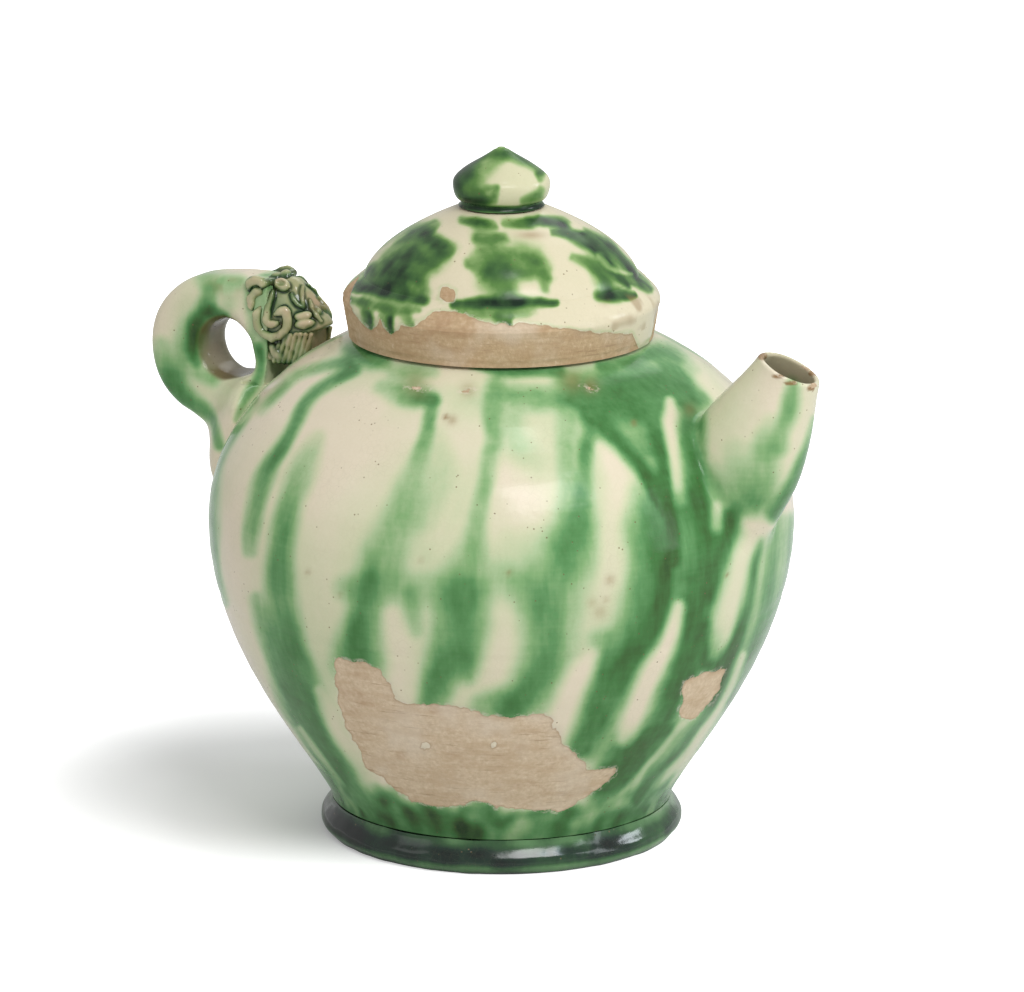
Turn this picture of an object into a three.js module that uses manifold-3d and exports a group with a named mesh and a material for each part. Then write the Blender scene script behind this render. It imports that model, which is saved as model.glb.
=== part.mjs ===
// A glazed pottery ewer: a thrown round body on a splayed foot, a conical pouring spout, a looped strap
// handle whose upper end is a moulded beast head biting the shoulder, and a domed lid that lifts off.
// Millimetres, +Z up. The origin is the centre of the flat base. The spout points along +X.

import * as THREE from "three";
import { mergeVertices } from "three/addons/utils/BufferGeometryUtils.js";
import Module from "manifold-3d";

const wasm = await Module();
wasm.setup();

// Clay pieces keep this much between them where slip joins them.
const GAP = 0.3;

// Facets round a full turn: wide pieces, and narrow ones.
const WIDE_TURN = 52;
const NARROW_TURN = 24;

// Splayed foot: a flat-based slab with a bevelled lower edge and a hollow-sided waist above it.
const FOOT_BASE_R = 45.7;
const FOOT_EDGE_R = 47.5;
const FOOT_EDGE_Z = 3.4;
const WAIST_R = 44.4;
const WAIST_Z = 9.2;

// Body: outer outline from the waist to the mouth, in two curves that meet at the belly.
const BELLY_R = 75.8;
const BELLY_Z = 82.9;
const MOUTH_Z = 132.7;
const WAIST_RISE = 10.4;
const WAIST_LEAN = THREE.MathUtils.degToRad(15);
const BELLY_DROP = 35.4;
const BELLY_RISE = 23.2;
const SHOULDER_RUN = 24.7;
const SHOULDER_SLOPE = THREE.MathUtils.degToRad(18.8);
const BODY_WALL = 4.4;
const FLOOR_THICKNESS = 5.2;

// Mouth collar: a low upright ring that the lid drops over.
const COLLAR_R = 33;
const COLLAR_WALL = 3.6;
const COLLAR_H = 8.2;
const COLLAR_LIP = 1.2;

// Lid: an upright band under a shallow dome. A ledge inside rests on the collar.
const LID_EDGE_CLEARANCE = 1.2;
const LID_EDGE_R = COLLAR_R + 6.4;
const BAND_R = LID_EDGE_R + 1.6;
const BAND_BULGE_DROP = 1.0;
const BAND_ROLL_RISE = 1.4;
const BAND_THICKNESS = 4.2;
const ROLL_R = COLLAR_R + 3;
const ROLL_H = 4.6;
const ROLL_GROOVE = 1.0;
const DOME_H = 17.1;
const DOME_SWELL_R = ROLL_R - 4.5;
const DOME_SWELL_H = 8.6;
const LEDGE_R = COLLAR_R - COLLAR_WALL - 0.9;
const DOME_HOLLOW_H = 18.0;

// Knob: a pointed bud on a short neck.
const KNOB_SEAT_R = 11.4;
const KNOB_NECK_R = 10.6;
const KNOB_R = 12.4;
const KNOB_H = 15.1;
const KNOB_BULGE_H = 6.6;
const KNOB_TIP_R = 2.2;

// Spout: a hollow cone on a slightly bent axis, cut a little askew at its mouth.
const SPOUT_REACH = 7.5;
const SPOUT_BEND_DROP = 13.1;
const SPOUT_BEND_BACK = 5.9;
const SPOUT_ROOT_DROP = 47.8;
const SPOUT_ROOT_BACK = 25;
const SPOUT_MOUTH = new THREE.Vector2(BELLY_R + SPOUT_REACH, MOUTH_Z - 0.7);
const SPOUT_BEND = new THREE.Vector2(SPOUT_MOUTH.x - SPOUT_BEND_BACK, SPOUT_MOUTH.y - SPOUT_BEND_DROP);
const SPOUT_ROOT = new THREE.Vector2(SPOUT_MOUTH.x - SPOUT_ROOT_BACK, SPOUT_MOUTH.y - SPOUT_ROOT_DROP);
const SPOUT_MOUTH_R = 8.5;
const SPOUT_ROOT_R = 15.1;
const SPOUT_FLARE_RUN = 30;
const SPOUT_FLARE_POWER = 1.3;
const SPOUT_LIP_WALL = 1.7;
const SPOUT_WALL = 3.2;
const SPOUT_CUT_LIFT = THREE.MathUtils.degToRad(65);
const SPOUT_CUT_YAW = THREE.MathUtils.degToRad(12);
const POUR_HOLE_R = 6.5;

// Handle: a pulled strap between a round outer outline and an oval finger hole, and its spreading root. Its
// top stands at a set height over the shoulder where the head sits.
const HEAD_SETBACK = 20;
const HEAD_RISE = 18.8;
const NECK_TOP_Z = shoulderZ(BELLY_R - HEAD_SETBACK) + HEAD_RISE;
const LOOP_REACH = 8.5;
const LOOP_R = 19.7;
const LOOP_X = -(BELLY_R + LOOP_REACH);
const LOOP_Z = NECK_TOP_Z - LOOP_R - 0.9;
const HOLE_SHIFT = 4.9;
const HOLE_X = LOOP_X + HOLE_SHIFT;
const HOLE_Z = LOOP_Z + 1;
const HOLE_HALF_WIDE = 7.8;
const HOLE_HALF_HIGH = 7.5;
const STRAP_WIDTH = 15.2;
const STRAP_SQUARENESS = 3.4;
const ROOT_WIDTH = 33;
const ROOT_FALL = 15.6;
const ROOT_REACH = 16.4;

// Neck behind the head: an upright slab from the shoulder to the top of the loop.
const NECK_THICKNESS = 5.8;
const NECK_BACK_X = HOLE_X + HOLE_HALF_WIDE - 1.2;
const NECK_FRONT_X = NECK_BACK_X + NECK_THICKNESS;
const NECK_EDGE = 1.2;
const NECK_TOE = 9;

// Beast head: crown, brow and snout in profile, a wedge in plan, and a rounded top over upright cheeks.
const HEAD_WIDTH = 14.4;
const CROWN_Z = NECK_TOP_Z + 0.6;
const HEAD_LENGTH = 16;
const HEAD_FALL = 11.2;
const BROW_X = NECK_FRONT_X + HEAD_LENGTH * 0.4;
const BROW_Z = CROWN_Z - 1.2;
const SNOUT_X = NECK_FRONT_X + HEAD_LENGTH;
const SNOUT_Z = CROWN_Z - HEAD_FALL;
const SNOUT_WIDTH = 4.6;
const CHEEK_X = NECK_FRONT_X + HEAD_LENGTH * 0.344;
const CHEEK_Z = SNOUT_Z - 1.2;
const JAW_SETBACK = 3.9;
const CHIN_DROP = 2.6;

// Applied relief: clay rolls and sprigs luted on the head.
const ROLL_WIDTH = 2.3;
const RELIEF = 1.9;
const CURL_X = NECK_FRONT_X + 2.3;
const CURL_Z = CHEEK_Z + 1.5;
const CURL_R = 4.5;
const BROW_FALL = 6.3;
const EYE_R = 1.3;
const TEETH = 7;

const CREAM = 0xdad0b6;
const GREEN = 0x5f9a68;
const OLIVE = 0x8c9270;
const CLAY = 0xcbaf91;

// Solids and meshes

function signedVolume(positions, index) {
  const a = new THREE.Vector3();
  const b = new THREE.Vector3();
  const c = new THREE.Vector3();
  let sum = 0;
  for (let i = 0; i < index.length; i += 3) {
    a.fromArray(positions, index[i] * 3);
    b.fromArray(positions, index[i + 1] * 3);
    c.fromArray(positions, index[i + 2] * 3);
    sum += a.dot(b.cross(c));
  }
  return sum / 6;
}

// A closed solid from a geometry whose shared corners are merged, with its faces turned outwards.
function solidOf(geometry) {
  const bare = geometry.index ? geometry.toNonIndexed() : geometry.clone();
  bare.deleteAttribute("normal");
  bare.deleteAttribute("uv");
  const merged = mergeVertices(bare, 1e-3);
  const vertProperties = merged.attributes.position.array;
  const triVerts = new Uint32Array(merged.index.array);
  if (signedVolume(vertProperties, triVerts) < 0) {
    triVerts.reverse();
  }
  return new wasm.Manifold(new wasm.Mesh({ numProp: 3, vertProperties, triVerts }));
}

function meshOf(name, solid, color, roughness) {
  const made = solid.getMesh();
  const geometry = new THREE.BufferGeometry();
  geometry.setAttribute("position", new THREE.BufferAttribute(made.vertProperties, 3));
  geometry.setIndex(new THREE.BufferAttribute(made.triVerts, 1));
  geometry.computeVertexNormals();
  const material = new THREE.MeshStandardMaterial({ color, roughness, metalness: 0 });
  const mesh = new THREE.Mesh(geometry, material);
  mesh.name = name;
  return mesh;
}

// A solid of revolution about Z, from a profile of radius and height.
function turned(profile, segments) {
  return solidOf(new THREE.LatheGeometry(profile, segments).rotateX(Math.PI / 2));
}

// A closed skin over rings with equal numbers of points, with a fan over the first and the last ring.
function loft(rings) {
  const count = rings[0].length;
  const last = (rings.length - 1) * count;
  const index = [];
  for (let start = 0; start < last; start += count) {
    for (let i = 0; i < count; i += 1) {
      const next = (i + 1) % count;
      index.push(start + i, start + next, start + count + i);
      index.push(start + next, start + count + next, start + count + i);
    }
  }
  for (let i = 1; i < count - 1; i += 1) {
    index.push(0, i + 1, i);
    index.push(last, last + i, last + i + 1);
  }
  const geometry = new THREE.BufferGeometry().setFromPoints(rings.flat());
  geometry.setIndex(index);
  return solidOf(geometry);
}

// Shares of the half width and half height round a rounded oblong, which is squarer at a higher squareness.
function oblong(squareness) {
  const corners = 16;
  const rounded = (share) => Math.sign(share) * Math.abs(share) ** (2 / squareness);
  return Array.from({ length: corners }, (_, i) => {
    const angle = ((i + 0.5) / corners) * Math.PI * 2;
    return [rounded(Math.cos(angle)), rounded(Math.sin(angle))];
  });
}

function join(solids) {
  return solids.reduce((sum, solid) => sum.add(solid));
}

// The main lump of a cut piece, without the slivers that a slanting cut can leave beside it.
function mainLump(solid) {
  return solid.decompose().reduce((best, lump) => (lump.volume() > best.volume() ? lump : best));
}

// Curve helpers

// Moves the points of an open outline sideways, outwards from the axis where distance is positive.
function shifted(points, distance) {
  return points.map((point, i) => {
    const before = points[Math.max(i - 1, 0)];
    const after = points[Math.min(i + 1, points.length - 1)];
    const along = after.clone().sub(before).normalize();
    return new THREE.Vector2(point.x + along.y * distance, point.y - along.x * distance);
  });
}

function smoothPoints(points, steps) {
  return new THREE.SplineCurve(points.map(([x, y]) => new THREE.Vector2(x, y))).getPoints(steps);
}

// Body and foot

function bodyOutline() {
  const outline = new THREE.Path();
  outline.moveTo(WAIST_R, WAIST_Z);
  outline.bezierCurveTo(
    WAIST_R + WAIST_RISE * Math.sin(WAIST_LEAN), WAIST_Z + WAIST_RISE * Math.cos(WAIST_LEAN),
    BELLY_R, BELLY_Z - BELLY_DROP,
    BELLY_R, BELLY_Z,
  );
  outline.bezierCurveTo(
    BELLY_R, BELLY_Z + BELLY_RISE,
    COLLAR_R + SHOULDER_RUN * Math.cos(SHOULDER_SLOPE), MOUTH_Z - SHOULDER_RUN * Math.sin(SHOULDER_SLOPE),
    COLLAR_R, MOUTH_Z,
  );
  return outline.getPoints(8);
}

// The solid that the body's outer surface encloses, swollen by a clearance.
function bodyBulk(clearance) {
  const line = shifted(bodyOutline(), clearance);
  const top = line[line.length - 1].y;
  const profile = [new THREE.Vector2(0, WAIST_Z), ...line, new THREE.Vector2(0, top)];
  return turned(profile, WIDE_TURN);
}

function vesselBody() {
  const outer = bodyOutline();
  const mouthR = COLLAR_R - COLLAR_WALL;
  const floorZ = WAIST_Z + FLOOR_THICKNESS;
  const inner = shifted(outer, -BODY_WALL)
    .filter((point, i) => i % 2 === 0 && point.y > floorZ + 2 && point.x > mouthR)
    .reverse();
  const throat = inner[0].y + (inner[0].x - mouthR) * Math.tan(SHOULDER_SLOPE);
  const foot = inner[inner.length - 1];
  const wall = [
    new THREE.Vector2(0, WAIST_Z),
    ...outer,
    new THREE.Vector2(mouthR, MOUTH_Z),
    new THREE.Vector2(mouthR, throat),
    ...inner,
    new THREE.Vector2(foot.x - BODY_WALL, floorZ),
    new THREE.Vector2(0, floorZ),
  ];
  return turned(wall, WIDE_TURN).subtract(spoutPiece(0.4, 1, POUR_HOLE_R, POUR_HOLE_R));
}

function splayedFoot() {
  const profile = new THREE.Path();
  profile.moveTo(0, 0);
  profile.lineTo(FOOT_BASE_R, 0);
  profile.lineTo(FOOT_EDGE_R - 0.5, FOOT_EDGE_Z * 0.6);
  profile.quadraticCurveTo(FOOT_EDGE_R + 0.3, FOOT_EDGE_Z, FOOT_EDGE_R - 0.6, FOOT_EDGE_Z * 1.5);
  profile.quadraticCurveTo(WAIST_R + 0.6, WAIST_Z * 0.75, WAIST_R, WAIST_Z - GAP);
  profile.lineTo(0, WAIST_Z - GAP);
  return turned(profile.getPoints(3), WIDE_TURN);
}

function mouthCollar() {
  const low = MOUTH_Z + GAP;
  const inner = COLLAR_R - COLLAR_WALL;
  const profile = new THREE.Path();
  profile.moveTo(inner, low);
  profile.lineTo(COLLAR_R, low);
  profile.lineTo(COLLAR_R, low + COLLAR_H - COLLAR_LIP);
  profile.quadraticCurveTo(COLLAR_R, low + COLLAR_H, COLLAR_R - COLLAR_LIP, low + COLLAR_H);
  profile.lineTo(inner + COLLAR_LIP, low + COLLAR_H);
  profile.quadraticCurveTo(inner, low + COLLAR_H, inner, low + COLLAR_H - COLLAR_LIP);
  profile.lineTo(inner, low);
  return turned(profile.getPoints(2), WIDE_TURN - 8);
}

// Lid

const LEDGE_Z = MOUTH_Z + GAP + COLLAR_H + GAP;
const ROLL_Z = LEDGE_Z + BAND_ROLL_RISE + ROLL_H;
const DOME_TOP_Z = ROLL_Z + DOME_H;

// Height of the body's shoulder at a radius above the belly.
function shoulderZ(radius) {
  const line = bodyOutline().filter((point) => point.y >= BELLY_Z);
  const k = line.findIndex((point) => point.x <= radius);
  const share = (radius - line[k].x) / (line[k - 1].x - line[k].x);
  return THREE.MathUtils.lerp(line[k].y, line[k - 1].y, share);
}

function lidCap() {
  const innerR = LID_EDGE_R - BAND_THICKNESS;
  const profile = new THREE.Path();
  profile.moveTo(0, DOME_TOP_Z);
  profile.lineTo(KNOB_SEAT_R, DOME_TOP_Z);
  profile.quadraticCurveTo(DOME_SWELL_R, ROLL_Z + DOME_SWELL_H, ROLL_R - ROLL_GROOVE, ROLL_Z);
  profile.lineTo(ROLL_R, ROLL_Z - ROLL_GROOVE);
  profile.quadraticCurveTo(BAND_R, LEDGE_Z + BAND_ROLL_RISE, BAND_R, LEDGE_Z - BAND_BULGE_DROP);
  profile.lineTo(LID_EDGE_R, shoulderZ(LID_EDGE_R) + LID_EDGE_CLEARANCE);
  profile.lineTo(innerR, shoulderZ(innerR) + LID_EDGE_CLEARANCE);
  profile.lineTo(innerR, LEDGE_Z);
  profile.lineTo(LEDGE_R, LEDGE_Z);
  profile.bezierCurveTo(
    LEDGE_R, LEDGE_Z + DOME_HOLLOW_H * 0.55,
    LEDGE_R * 0.55, LEDGE_Z + DOME_HOLLOW_H,
    0, LEDGE_Z + DOME_HOLLOW_H,
  );
  return turned(profile.getPoints(4), WIDE_TURN - 6);
}

function lidKnob() {
  const seat = DOME_TOP_Z + GAP;
  const profile = new THREE.Path();
  profile.moveTo(0, seat);
  profile.lineTo(KNOB_SEAT_R - 0.2, seat);
  profile.quadraticCurveTo(KNOB_NECK_R, seat + 0.8, KNOB_NECK_R, seat + 1.4);
  profile.bezierCurveTo(
    KNOB_R, seat + 1.9,
    KNOB_R + 0.5, seat + KNOB_BULGE_H - 1.6,
    KNOB_R, seat + KNOB_BULGE_H,
  );
  profile.bezierCurveTo(
    KNOB_R - 0.8, seat + KNOB_BULGE_H + 2.6,
    KNOB_TIP_R * 2.6, seat + KNOB_H - 3.2,
    KNOB_TIP_R, seat + KNOB_H - 0.5,
  );
  profile.quadraticCurveTo(KNOB_TIP_R * 0.5, seat + KNOB_H, 0, seat + KNOB_H);
  return turned(profile.getPoints(4), NARROW_TURN);
}

// Spout

const spoutAxis = new THREE.QuadraticBezierCurve(SPOUT_MOUTH, SPOUT_BEND, SPOUT_ROOT);
const SPOUT_RUN = spoutAxis.getLength();

// A round length of the spout between two shares of its axis, from a mouth radius out to a root radius.
// Shares below 0 run straight on beyond the mouth.
function spoutPiece(firstShare, lastShare, mouthR, rootR) {
  const rings = [];
  const steps = 9;
  for (let k = 0; k <= steps; k += 1) {
    const share = THREE.MathUtils.lerp(firstShare, lastShare, k / steps);
    const inside = THREE.MathUtils.clamp(share, 0, 1);
    const centre = spoutAxis.getPointAt(inside);
    const down = spoutAxis.getTangentAt(inside);
    centre.addScaledVector(down, (share - inside) * SPOUT_RUN);
    const flare = Math.sin(Math.min((inside * SPOUT_RUN) / SPOUT_FLARE_RUN, 1) * Math.PI * 0.5);
    const radius = THREE.MathUtils.lerp(mouthR, rootR, flare ** SPOUT_FLARE_POWER);
    const ring = [];
    for (let i = 0; i < NARROW_TURN; i += 1) {
      const angle = (i / NARROW_TURN) * Math.PI * 2;
      const across = radius * Math.cos(angle);
      ring.push(new THREE.Vector3(
        centre.x - down.y * across,
        radius * Math.sin(angle),
        centre.y + down.x * across,
      ));
    }
    rings.push(ring);
  }
  return loft(rings);
}

// A block that lies beyond the skew cut at the spout's mouth.
function spoutTrim() {
  const reach = SPOUT_ROOT_R * 2;
  const block = new THREE.BoxGeometry(reach, reach, reach);
  block.translate(reach / 2, 0, 0);
  const facing = new THREE.Vector3(
    Math.cos(SPOUT_CUT_LIFT) * Math.cos(SPOUT_CUT_YAW),
    Math.cos(SPOUT_CUT_LIFT) * Math.sin(SPOUT_CUT_YAW),
    Math.sin(SPOUT_CUT_LIFT),
  );
  block.applyQuaternion(new THREE.Quaternion().setFromUnitVectors(new THREE.Vector3(1, 0, 0), facing));
  block.translate(SPOUT_MOUTH.x, 0, SPOUT_MOUTH.y);
  return solidOf(block);
}

function spout() {
  const outer = spoutPiece(-0.08, 1, SPOUT_MOUTH_R, SPOUT_ROOT_R);
  const bore = spoutPiece(-0.15, 1.1, SPOUT_MOUTH_R - SPOUT_LIP_WALL, SPOUT_ROOT_R - SPOUT_WALL);
  return outer.subtract(bore).subtract(spoutTrim()).subtract(bodyBulk(GAP));
}

// Handle loop

// A rounded-oblong ring that spans from a point of the outer outline to one of the inner outline, both in
// the XZ plane, and is wide along Y. It swells by a clearance.
function strapRing(outer, inner, width, clearance) {
  const middle = outer.clone().lerp(inner, 0.5);
  const toOuter = outer.clone().sub(middle);
  toOuter.setLength(toOuter.length() + clearance);
  const half = width / 2 + clearance;
  return oblong(STRAP_SQUARENESS).map(([across, wide]) => new THREE.Vector3(
    middle.x + toOuter.x * across,
    half * wide,
    middle.y + toOuter.y * across,
  ));
}

// The strap runs from the neck over the top of the finger hole and round to its root on the shoulder. The
// root is set out from the lowest points of the loop and of the hole.
function strap(clearance) {
  const rings = [];
  const start = NECK_BACK_X - GAP + clearance;
  rings.push(strapRing(
    new THREE.Vector2(start, NECK_TOP_Z),
    new THREE.Vector2(start, HOLE_Z + HOLE_HALF_HIGH * 0.56),
    HEAD_WIDTH,
    clearance,
  ));
  rings.push(strapRing(
    new THREE.Vector2(start - 2.6, (NECK_TOP_Z + LOOP_Z + LOOP_R) / 2),
    new THREE.Vector2(start - 2.6, HOLE_Z + HOLE_HALF_HIGH * 0.93),
    STRAP_WIDTH,
    clearance,
  ));
  for (let degrees = 95; degrees <= 255; degrees += 16) {
    const angle = THREE.MathUtils.degToRad(degrees);
    const outer = new THREE.Vector2(LOOP_X + LOOP_R * Math.cos(angle), LOOP_Z + LOOP_R * Math.sin(angle));
    const inner = new THREE.Vector2(
      HOLE_X + HOLE_HALF_WIDE * Math.cos(angle),
      HOLE_Z + HOLE_HALF_HIGH * Math.sin(angle),
    );
    rings.push(strapRing(outer, inner, STRAP_WIDTH, clearance));
  }
  const lowZ = HOLE_Z - HOLE_HALF_HIGH;
  const outerStart = LOOP_Z - LOOP_R;
  // Shares of the root's reach and fall for the outer point and the inner point, and how far it has spread.
  const root = [
    [-0.134, -0.077, 0.085, 0, 0.08],
    [-0.012, -0.282, 0.317, 0.038, 0.3],
    [0.073, -0.59, 0.598, 0.186, 0.62],
    [0.378, -1, 1, 0.295, 1],
  ];
  root.forEach(([outerX, outerZ, innerX, innerZ, spread]) => {
    rings.push(strapRing(
      new THREE.Vector2(LOOP_X + outerX * ROOT_REACH, outerStart + outerZ * ROOT_FALL),
      new THREE.Vector2(HOLE_X + innerX * ROOT_REACH, lowZ + innerZ * ROOT_FALL),
      THREE.MathUtils.lerp(STRAP_WIDTH, ROOT_WIDTH, spread),
      clearance,
    ));
  });
  return loft(rings);
}

function handleLoop() {
  return strap(0).subtract(bodyBulk(GAP));
}

// Neck and head

// A slab with rounded edges, from an outline in the XZ plane and a width along Y.
function slab(outline, width, edge) {
  const geometry = new THREE.ExtrudeGeometry(new THREE.Shape(outline), {
    depth: width - 2 * edge,
    bevelEnabled: true,
    bevelThickness: edge,
    bevelSize: edge,
    bevelOffset: -edge,
    bevelSegments: 2,
  });
  geometry.rotateX(Math.PI / 2);
  geometry.translate(0, width / 2 - edge, 0);
  return solidOf(geometry);
}

// The back of the neck follows the finger hole. Its foot spreads where it meets the shoulder.
function neckSlab(clearance) {
  const lowZ = HOLE_Z - HOLE_HALF_HIGH;
  const backX = NECK_BACK_X - clearance;
  const outline = [
    new THREE.Vector2(backX, NECK_TOP_Z),
    new THREE.Vector2(backX, HOLE_Z + 3.8),
    new THREE.Vector2(backX + 1.1, HOLE_Z - 0.9),
    new THREE.Vector2(backX + 1.7, HOLE_Z - 4),
    new THREE.Vector2(backX + 1.7, lowZ - NECK_TOE),
    new THREE.Vector2(NECK_FRONT_X + NECK_TOE, lowZ - NECK_TOE),
    new THREE.Vector2(NECK_FRONT_X + NECK_TOE, HOLE_Z + 2),
    new THREE.Vector2(NECK_FRONT_X, HOLE_Z + 5),
    new THREE.Vector2(NECK_FRONT_X, NECK_TOP_Z),
  ];
  return slab(outline, HEAD_WIDTH + 2 * clearance, NECK_EDGE);
}

function handleNeck() {
  return mainLump(neckSlab(0).subtract(strap(GAP)).subtract(bodyBulk(GAP)).subtract(headBlock(GAP)));
}

// The head's top in profile, from the neck to the snout.
const crownLine = smoothPoints([
  [NECK_FRONT_X - GAP, CROWN_Z - 0.8],
  [NECK_FRONT_X + 2.4, CROWN_Z],
  [BROW_X, BROW_Z],
  [(BROW_X + SNOUT_X) / 2, (BROW_Z + SNOUT_Z) / 2 + 0.4],
  [SNOUT_X, SNOUT_Z],
], 20);

function crownZ(x) {
  const next = THREE.MathUtils.clamp(crownLine.findIndex((point) => point.x >= x), 1, crownLine.length - 1);
  const before = crownLine[next - 1];
  const share = THREE.MathUtils.clamp((x - before.x) / (crownLine[next].x - before.x), 0, 1);
  return THREE.MathUtils.lerp(before.y, crownLine[next].y, share);
}

// Half the head's width at the height of its cheeks.
function cheekHalf(x) {
  const share = THREE.MathUtils.clamp((x - CHEEK_X) / (SNOUT_X - CHEEK_X), 0, 1);
  return THREE.MathUtils.lerp(HEAD_WIDTH, SNOUT_WIDTH, share ** 1.15) / 2;
}

// Height at which the upright cheek turns into the rounded top.
function springZ(x) {
  return Math.min(CHEEK_Z, crownZ(x) - 3.5);
}

// Half width at any place on the head's side. Behind the head it's that of the neck.
function sideY(x, z) {
  if (x < NECK_FRONT_X) {
    return HEAD_WIDTH / 2;
  }
  const rise = (z - springZ(x)) / (crownZ(x) - springZ(x));
  return cheekHalf(x) * Math.sqrt(1 - THREE.MathUtils.clamp(rise, 0, 0.98) ** 2);
}

// The head without its relief: upright sections from the neck to the muzzle, which narrow towards its tip.
function headBlock(clearance) {
  const back = NECK_FRONT_X + GAP - clearance;
  const front = SNOUT_X + clearance;
  const low = HOLE_Z - 3 - clearance;
  const sections = 9;
  const arch = 14;
  const rings = [];
  for (let k = 0; k <= sections; k += 1) {
    const x = THREE.MathUtils.lerp(back, front, k / sections);
    const half = cheekHalf(x) + clearance;
    const spring = springZ(x);
    const ring = [new THREE.Vector3(x, -half, low)];
    for (let i = 0; i <= arch; i += 1) {
      const angle = Math.PI * (1 - i / arch);
      const up = (crownZ(x) + clearance - spring) * Math.sin(angle);
      ring.push(new THREE.Vector3(x, half * Math.cos(angle), spring + up));
    }
    ring.push(new THREE.Vector3(x, half, low));
    rings.push(ring);
  }
  return loft(rings);
}

// The undercut below the snout, where the jaw steps back.
function jawCut() {
  const jawX = SNOUT_X - JAW_SETBACK;
  const beyond = SNOUT_X + GAP;
  const profile = new THREE.Shape([
    new THREE.Vector2(beyond, SNOUT_Z - CHIN_DROP * 0.3),
    new THREE.Vector2(jawX, SNOUT_Z - CHIN_DROP),
    new THREE.Vector2(jawX, MOUTH_Z - HEAD_SETBACK),
    new THREE.Vector2(beyond, MOUTH_Z - HEAD_SETBACK),
  ]);
  const block = new THREE.ExtrudeGeometry(profile, { depth: HEAD_WIDTH, bevelEnabled: false });
  block.rotateX(Math.PI / 2);
  block.translate(0, HEAD_WIDTH / 2, 0);
  return solidOf(block);
}

function beastHead() {
  return headBlock(0).subtract(bodyBulk(GAP)).subtract(jawCut());
}

// Relief on the head. Each sprig lies on a cheek: side is -1 for the cheek at -Y and 1 for the other.

// A half-round roll of clay along a line of [x, z] points, laid on the cheek, with rounded ends. A swell
// above 0 makes the same roll a little larger all round, to cut a seat for it in its neighbours.
function clayRoll(points, width, height, side, steps, swell) {
  const line = smoothPoints(points, steps);
  line[0].add(line[0].clone().sub(line[1]).setLength(swell));
  line[steps].add(line[steps].clone().sub(line[steps - 1]).setLength(swell));
  const arch = 6;
  const rings = line.map((point, k) => {
    const before = line[Math.max(k - 1, 0)];
    const after = line[Math.min(k + 1, line.length - 1)];
    const along = after.clone().sub(before).normalize();
    const nearEnd = Math.min(k, line.length - 1 - k) / (line.length - 1);
    const full = Math.sqrt(THREE.MathUtils.clamp(nearEnd * 7 + 0.25, 0, 1));
    const seat = sideY(point.x, point.y) - RELIEF * 0.4;
    const ring = [];
    for (let i = 0; i <= arch; i += 1) {
      const angle = (i / arch) * Math.PI;
      const across = Math.cos(angle) * (width * 0.5 * full + swell);
      const out = seat + Math.sin(angle) * ((height + RELIEF * 0.4) * full + swell);
      ring.push(new THREE.Vector3(point.x - along.y * across, side * out, point.y + along.x * across));
    }
    return ring;
  });
  return loft(rings);
}

// A half-buried lump of clay on the cheek, turned about Y so that it points down towards the snout.
function clayLeaf(size, x, z, degrees, side, swell) {
  const leaf = new THREE.SphereGeometry(1, 10, 6);
  leaf.scale(...size.map((half) => half + swell));
  leaf.rotateY(THREE.MathUtils.degToRad(degrees));
  leaf.rotateZ(side * -Math.atan2(cheekHalf(x) - cheekHalf(x + 2), 2));
  leaf.translate(x, side * sideY(x, z), z);
  return solidOf(leaf);
}

function circlePoints(x, z, radius, fromDegrees, toDegrees, count) {
  const points = [];
  for (let k = 0; k <= count; k += 1) {
    const angle = THREE.MathUtils.degToRad(fromDegrees + ((toDegrees - fromDegrees) * k) / count);
    points.push([x + radius * Math.cos(angle), z + radius * Math.sin(angle)]);
  }
  return points;
}

// Places on the cheek, given across and up from the middle of the volute in shares of its radius.
function fromCurl(shares) {
  return shares.map(([x, z]) => [CURL_X + x * CURL_R, CURL_Z + z * CURL_R]);
}

// The large volute: an open ring of clay round a hooked tongue.
function maneCurl(side, swell) {
  const ring = circlePoints(CURL_X, CURL_Z, CURL_R, 142, 400, 9);
  ring.push(...fromCurl([[0.3, 0.42]]));
  return clayRoll(ring, ROLL_WIDTH, RELIEF, side, 20, swell);
}

function maneTongue(side, swell) {
  const tongue = fromCurl([[-0.2, 1.6], [-0.3, 0.8], [-0.36, -0.05], [-0.1, -0.25], [0.36, -0.1]]);
  return clayRoll(tongue, ROLL_WIDTH * 0.72, RELIEF * 0.8, side, 9, swell);
}

// The upper neighbours of the curl: a roll over the crest, flatter at +Y, and another down the neck.
function crestCurl(side, swell) {
  const outer = fromCurl([[-1.5, 1.66], [-1.46, 2.04], [-0.98, 2.24], [-0.35, 2.02]]);
  return clayRoll(outer, ROLL_WIDTH, RELIEF * (side < 0 ? 0.9 : 0.4), side, 9, swell);
}

function sideLock(side, swell) {
  const lock = fromCurl([[-0.45, 1.72], [-1.0, 1.62], [-1.38, 1.2], [-1.36, 0.6]]);
  return clayRoll(lock, ROLL_WIDTH, RELIEF * 0.9, side, 8, swell);
}

// A lock of the beard below the curl.
function jawLock(side, swell) {
  const lock = fromCurl([[-0.1, -1.5], [0.24, -1.86], [0.6, -2.26]]);
  return clayRoll(lock, ROLL_WIDTH * 1.6, RELIEF * 0.7, side, 6, swell);
}

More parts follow.
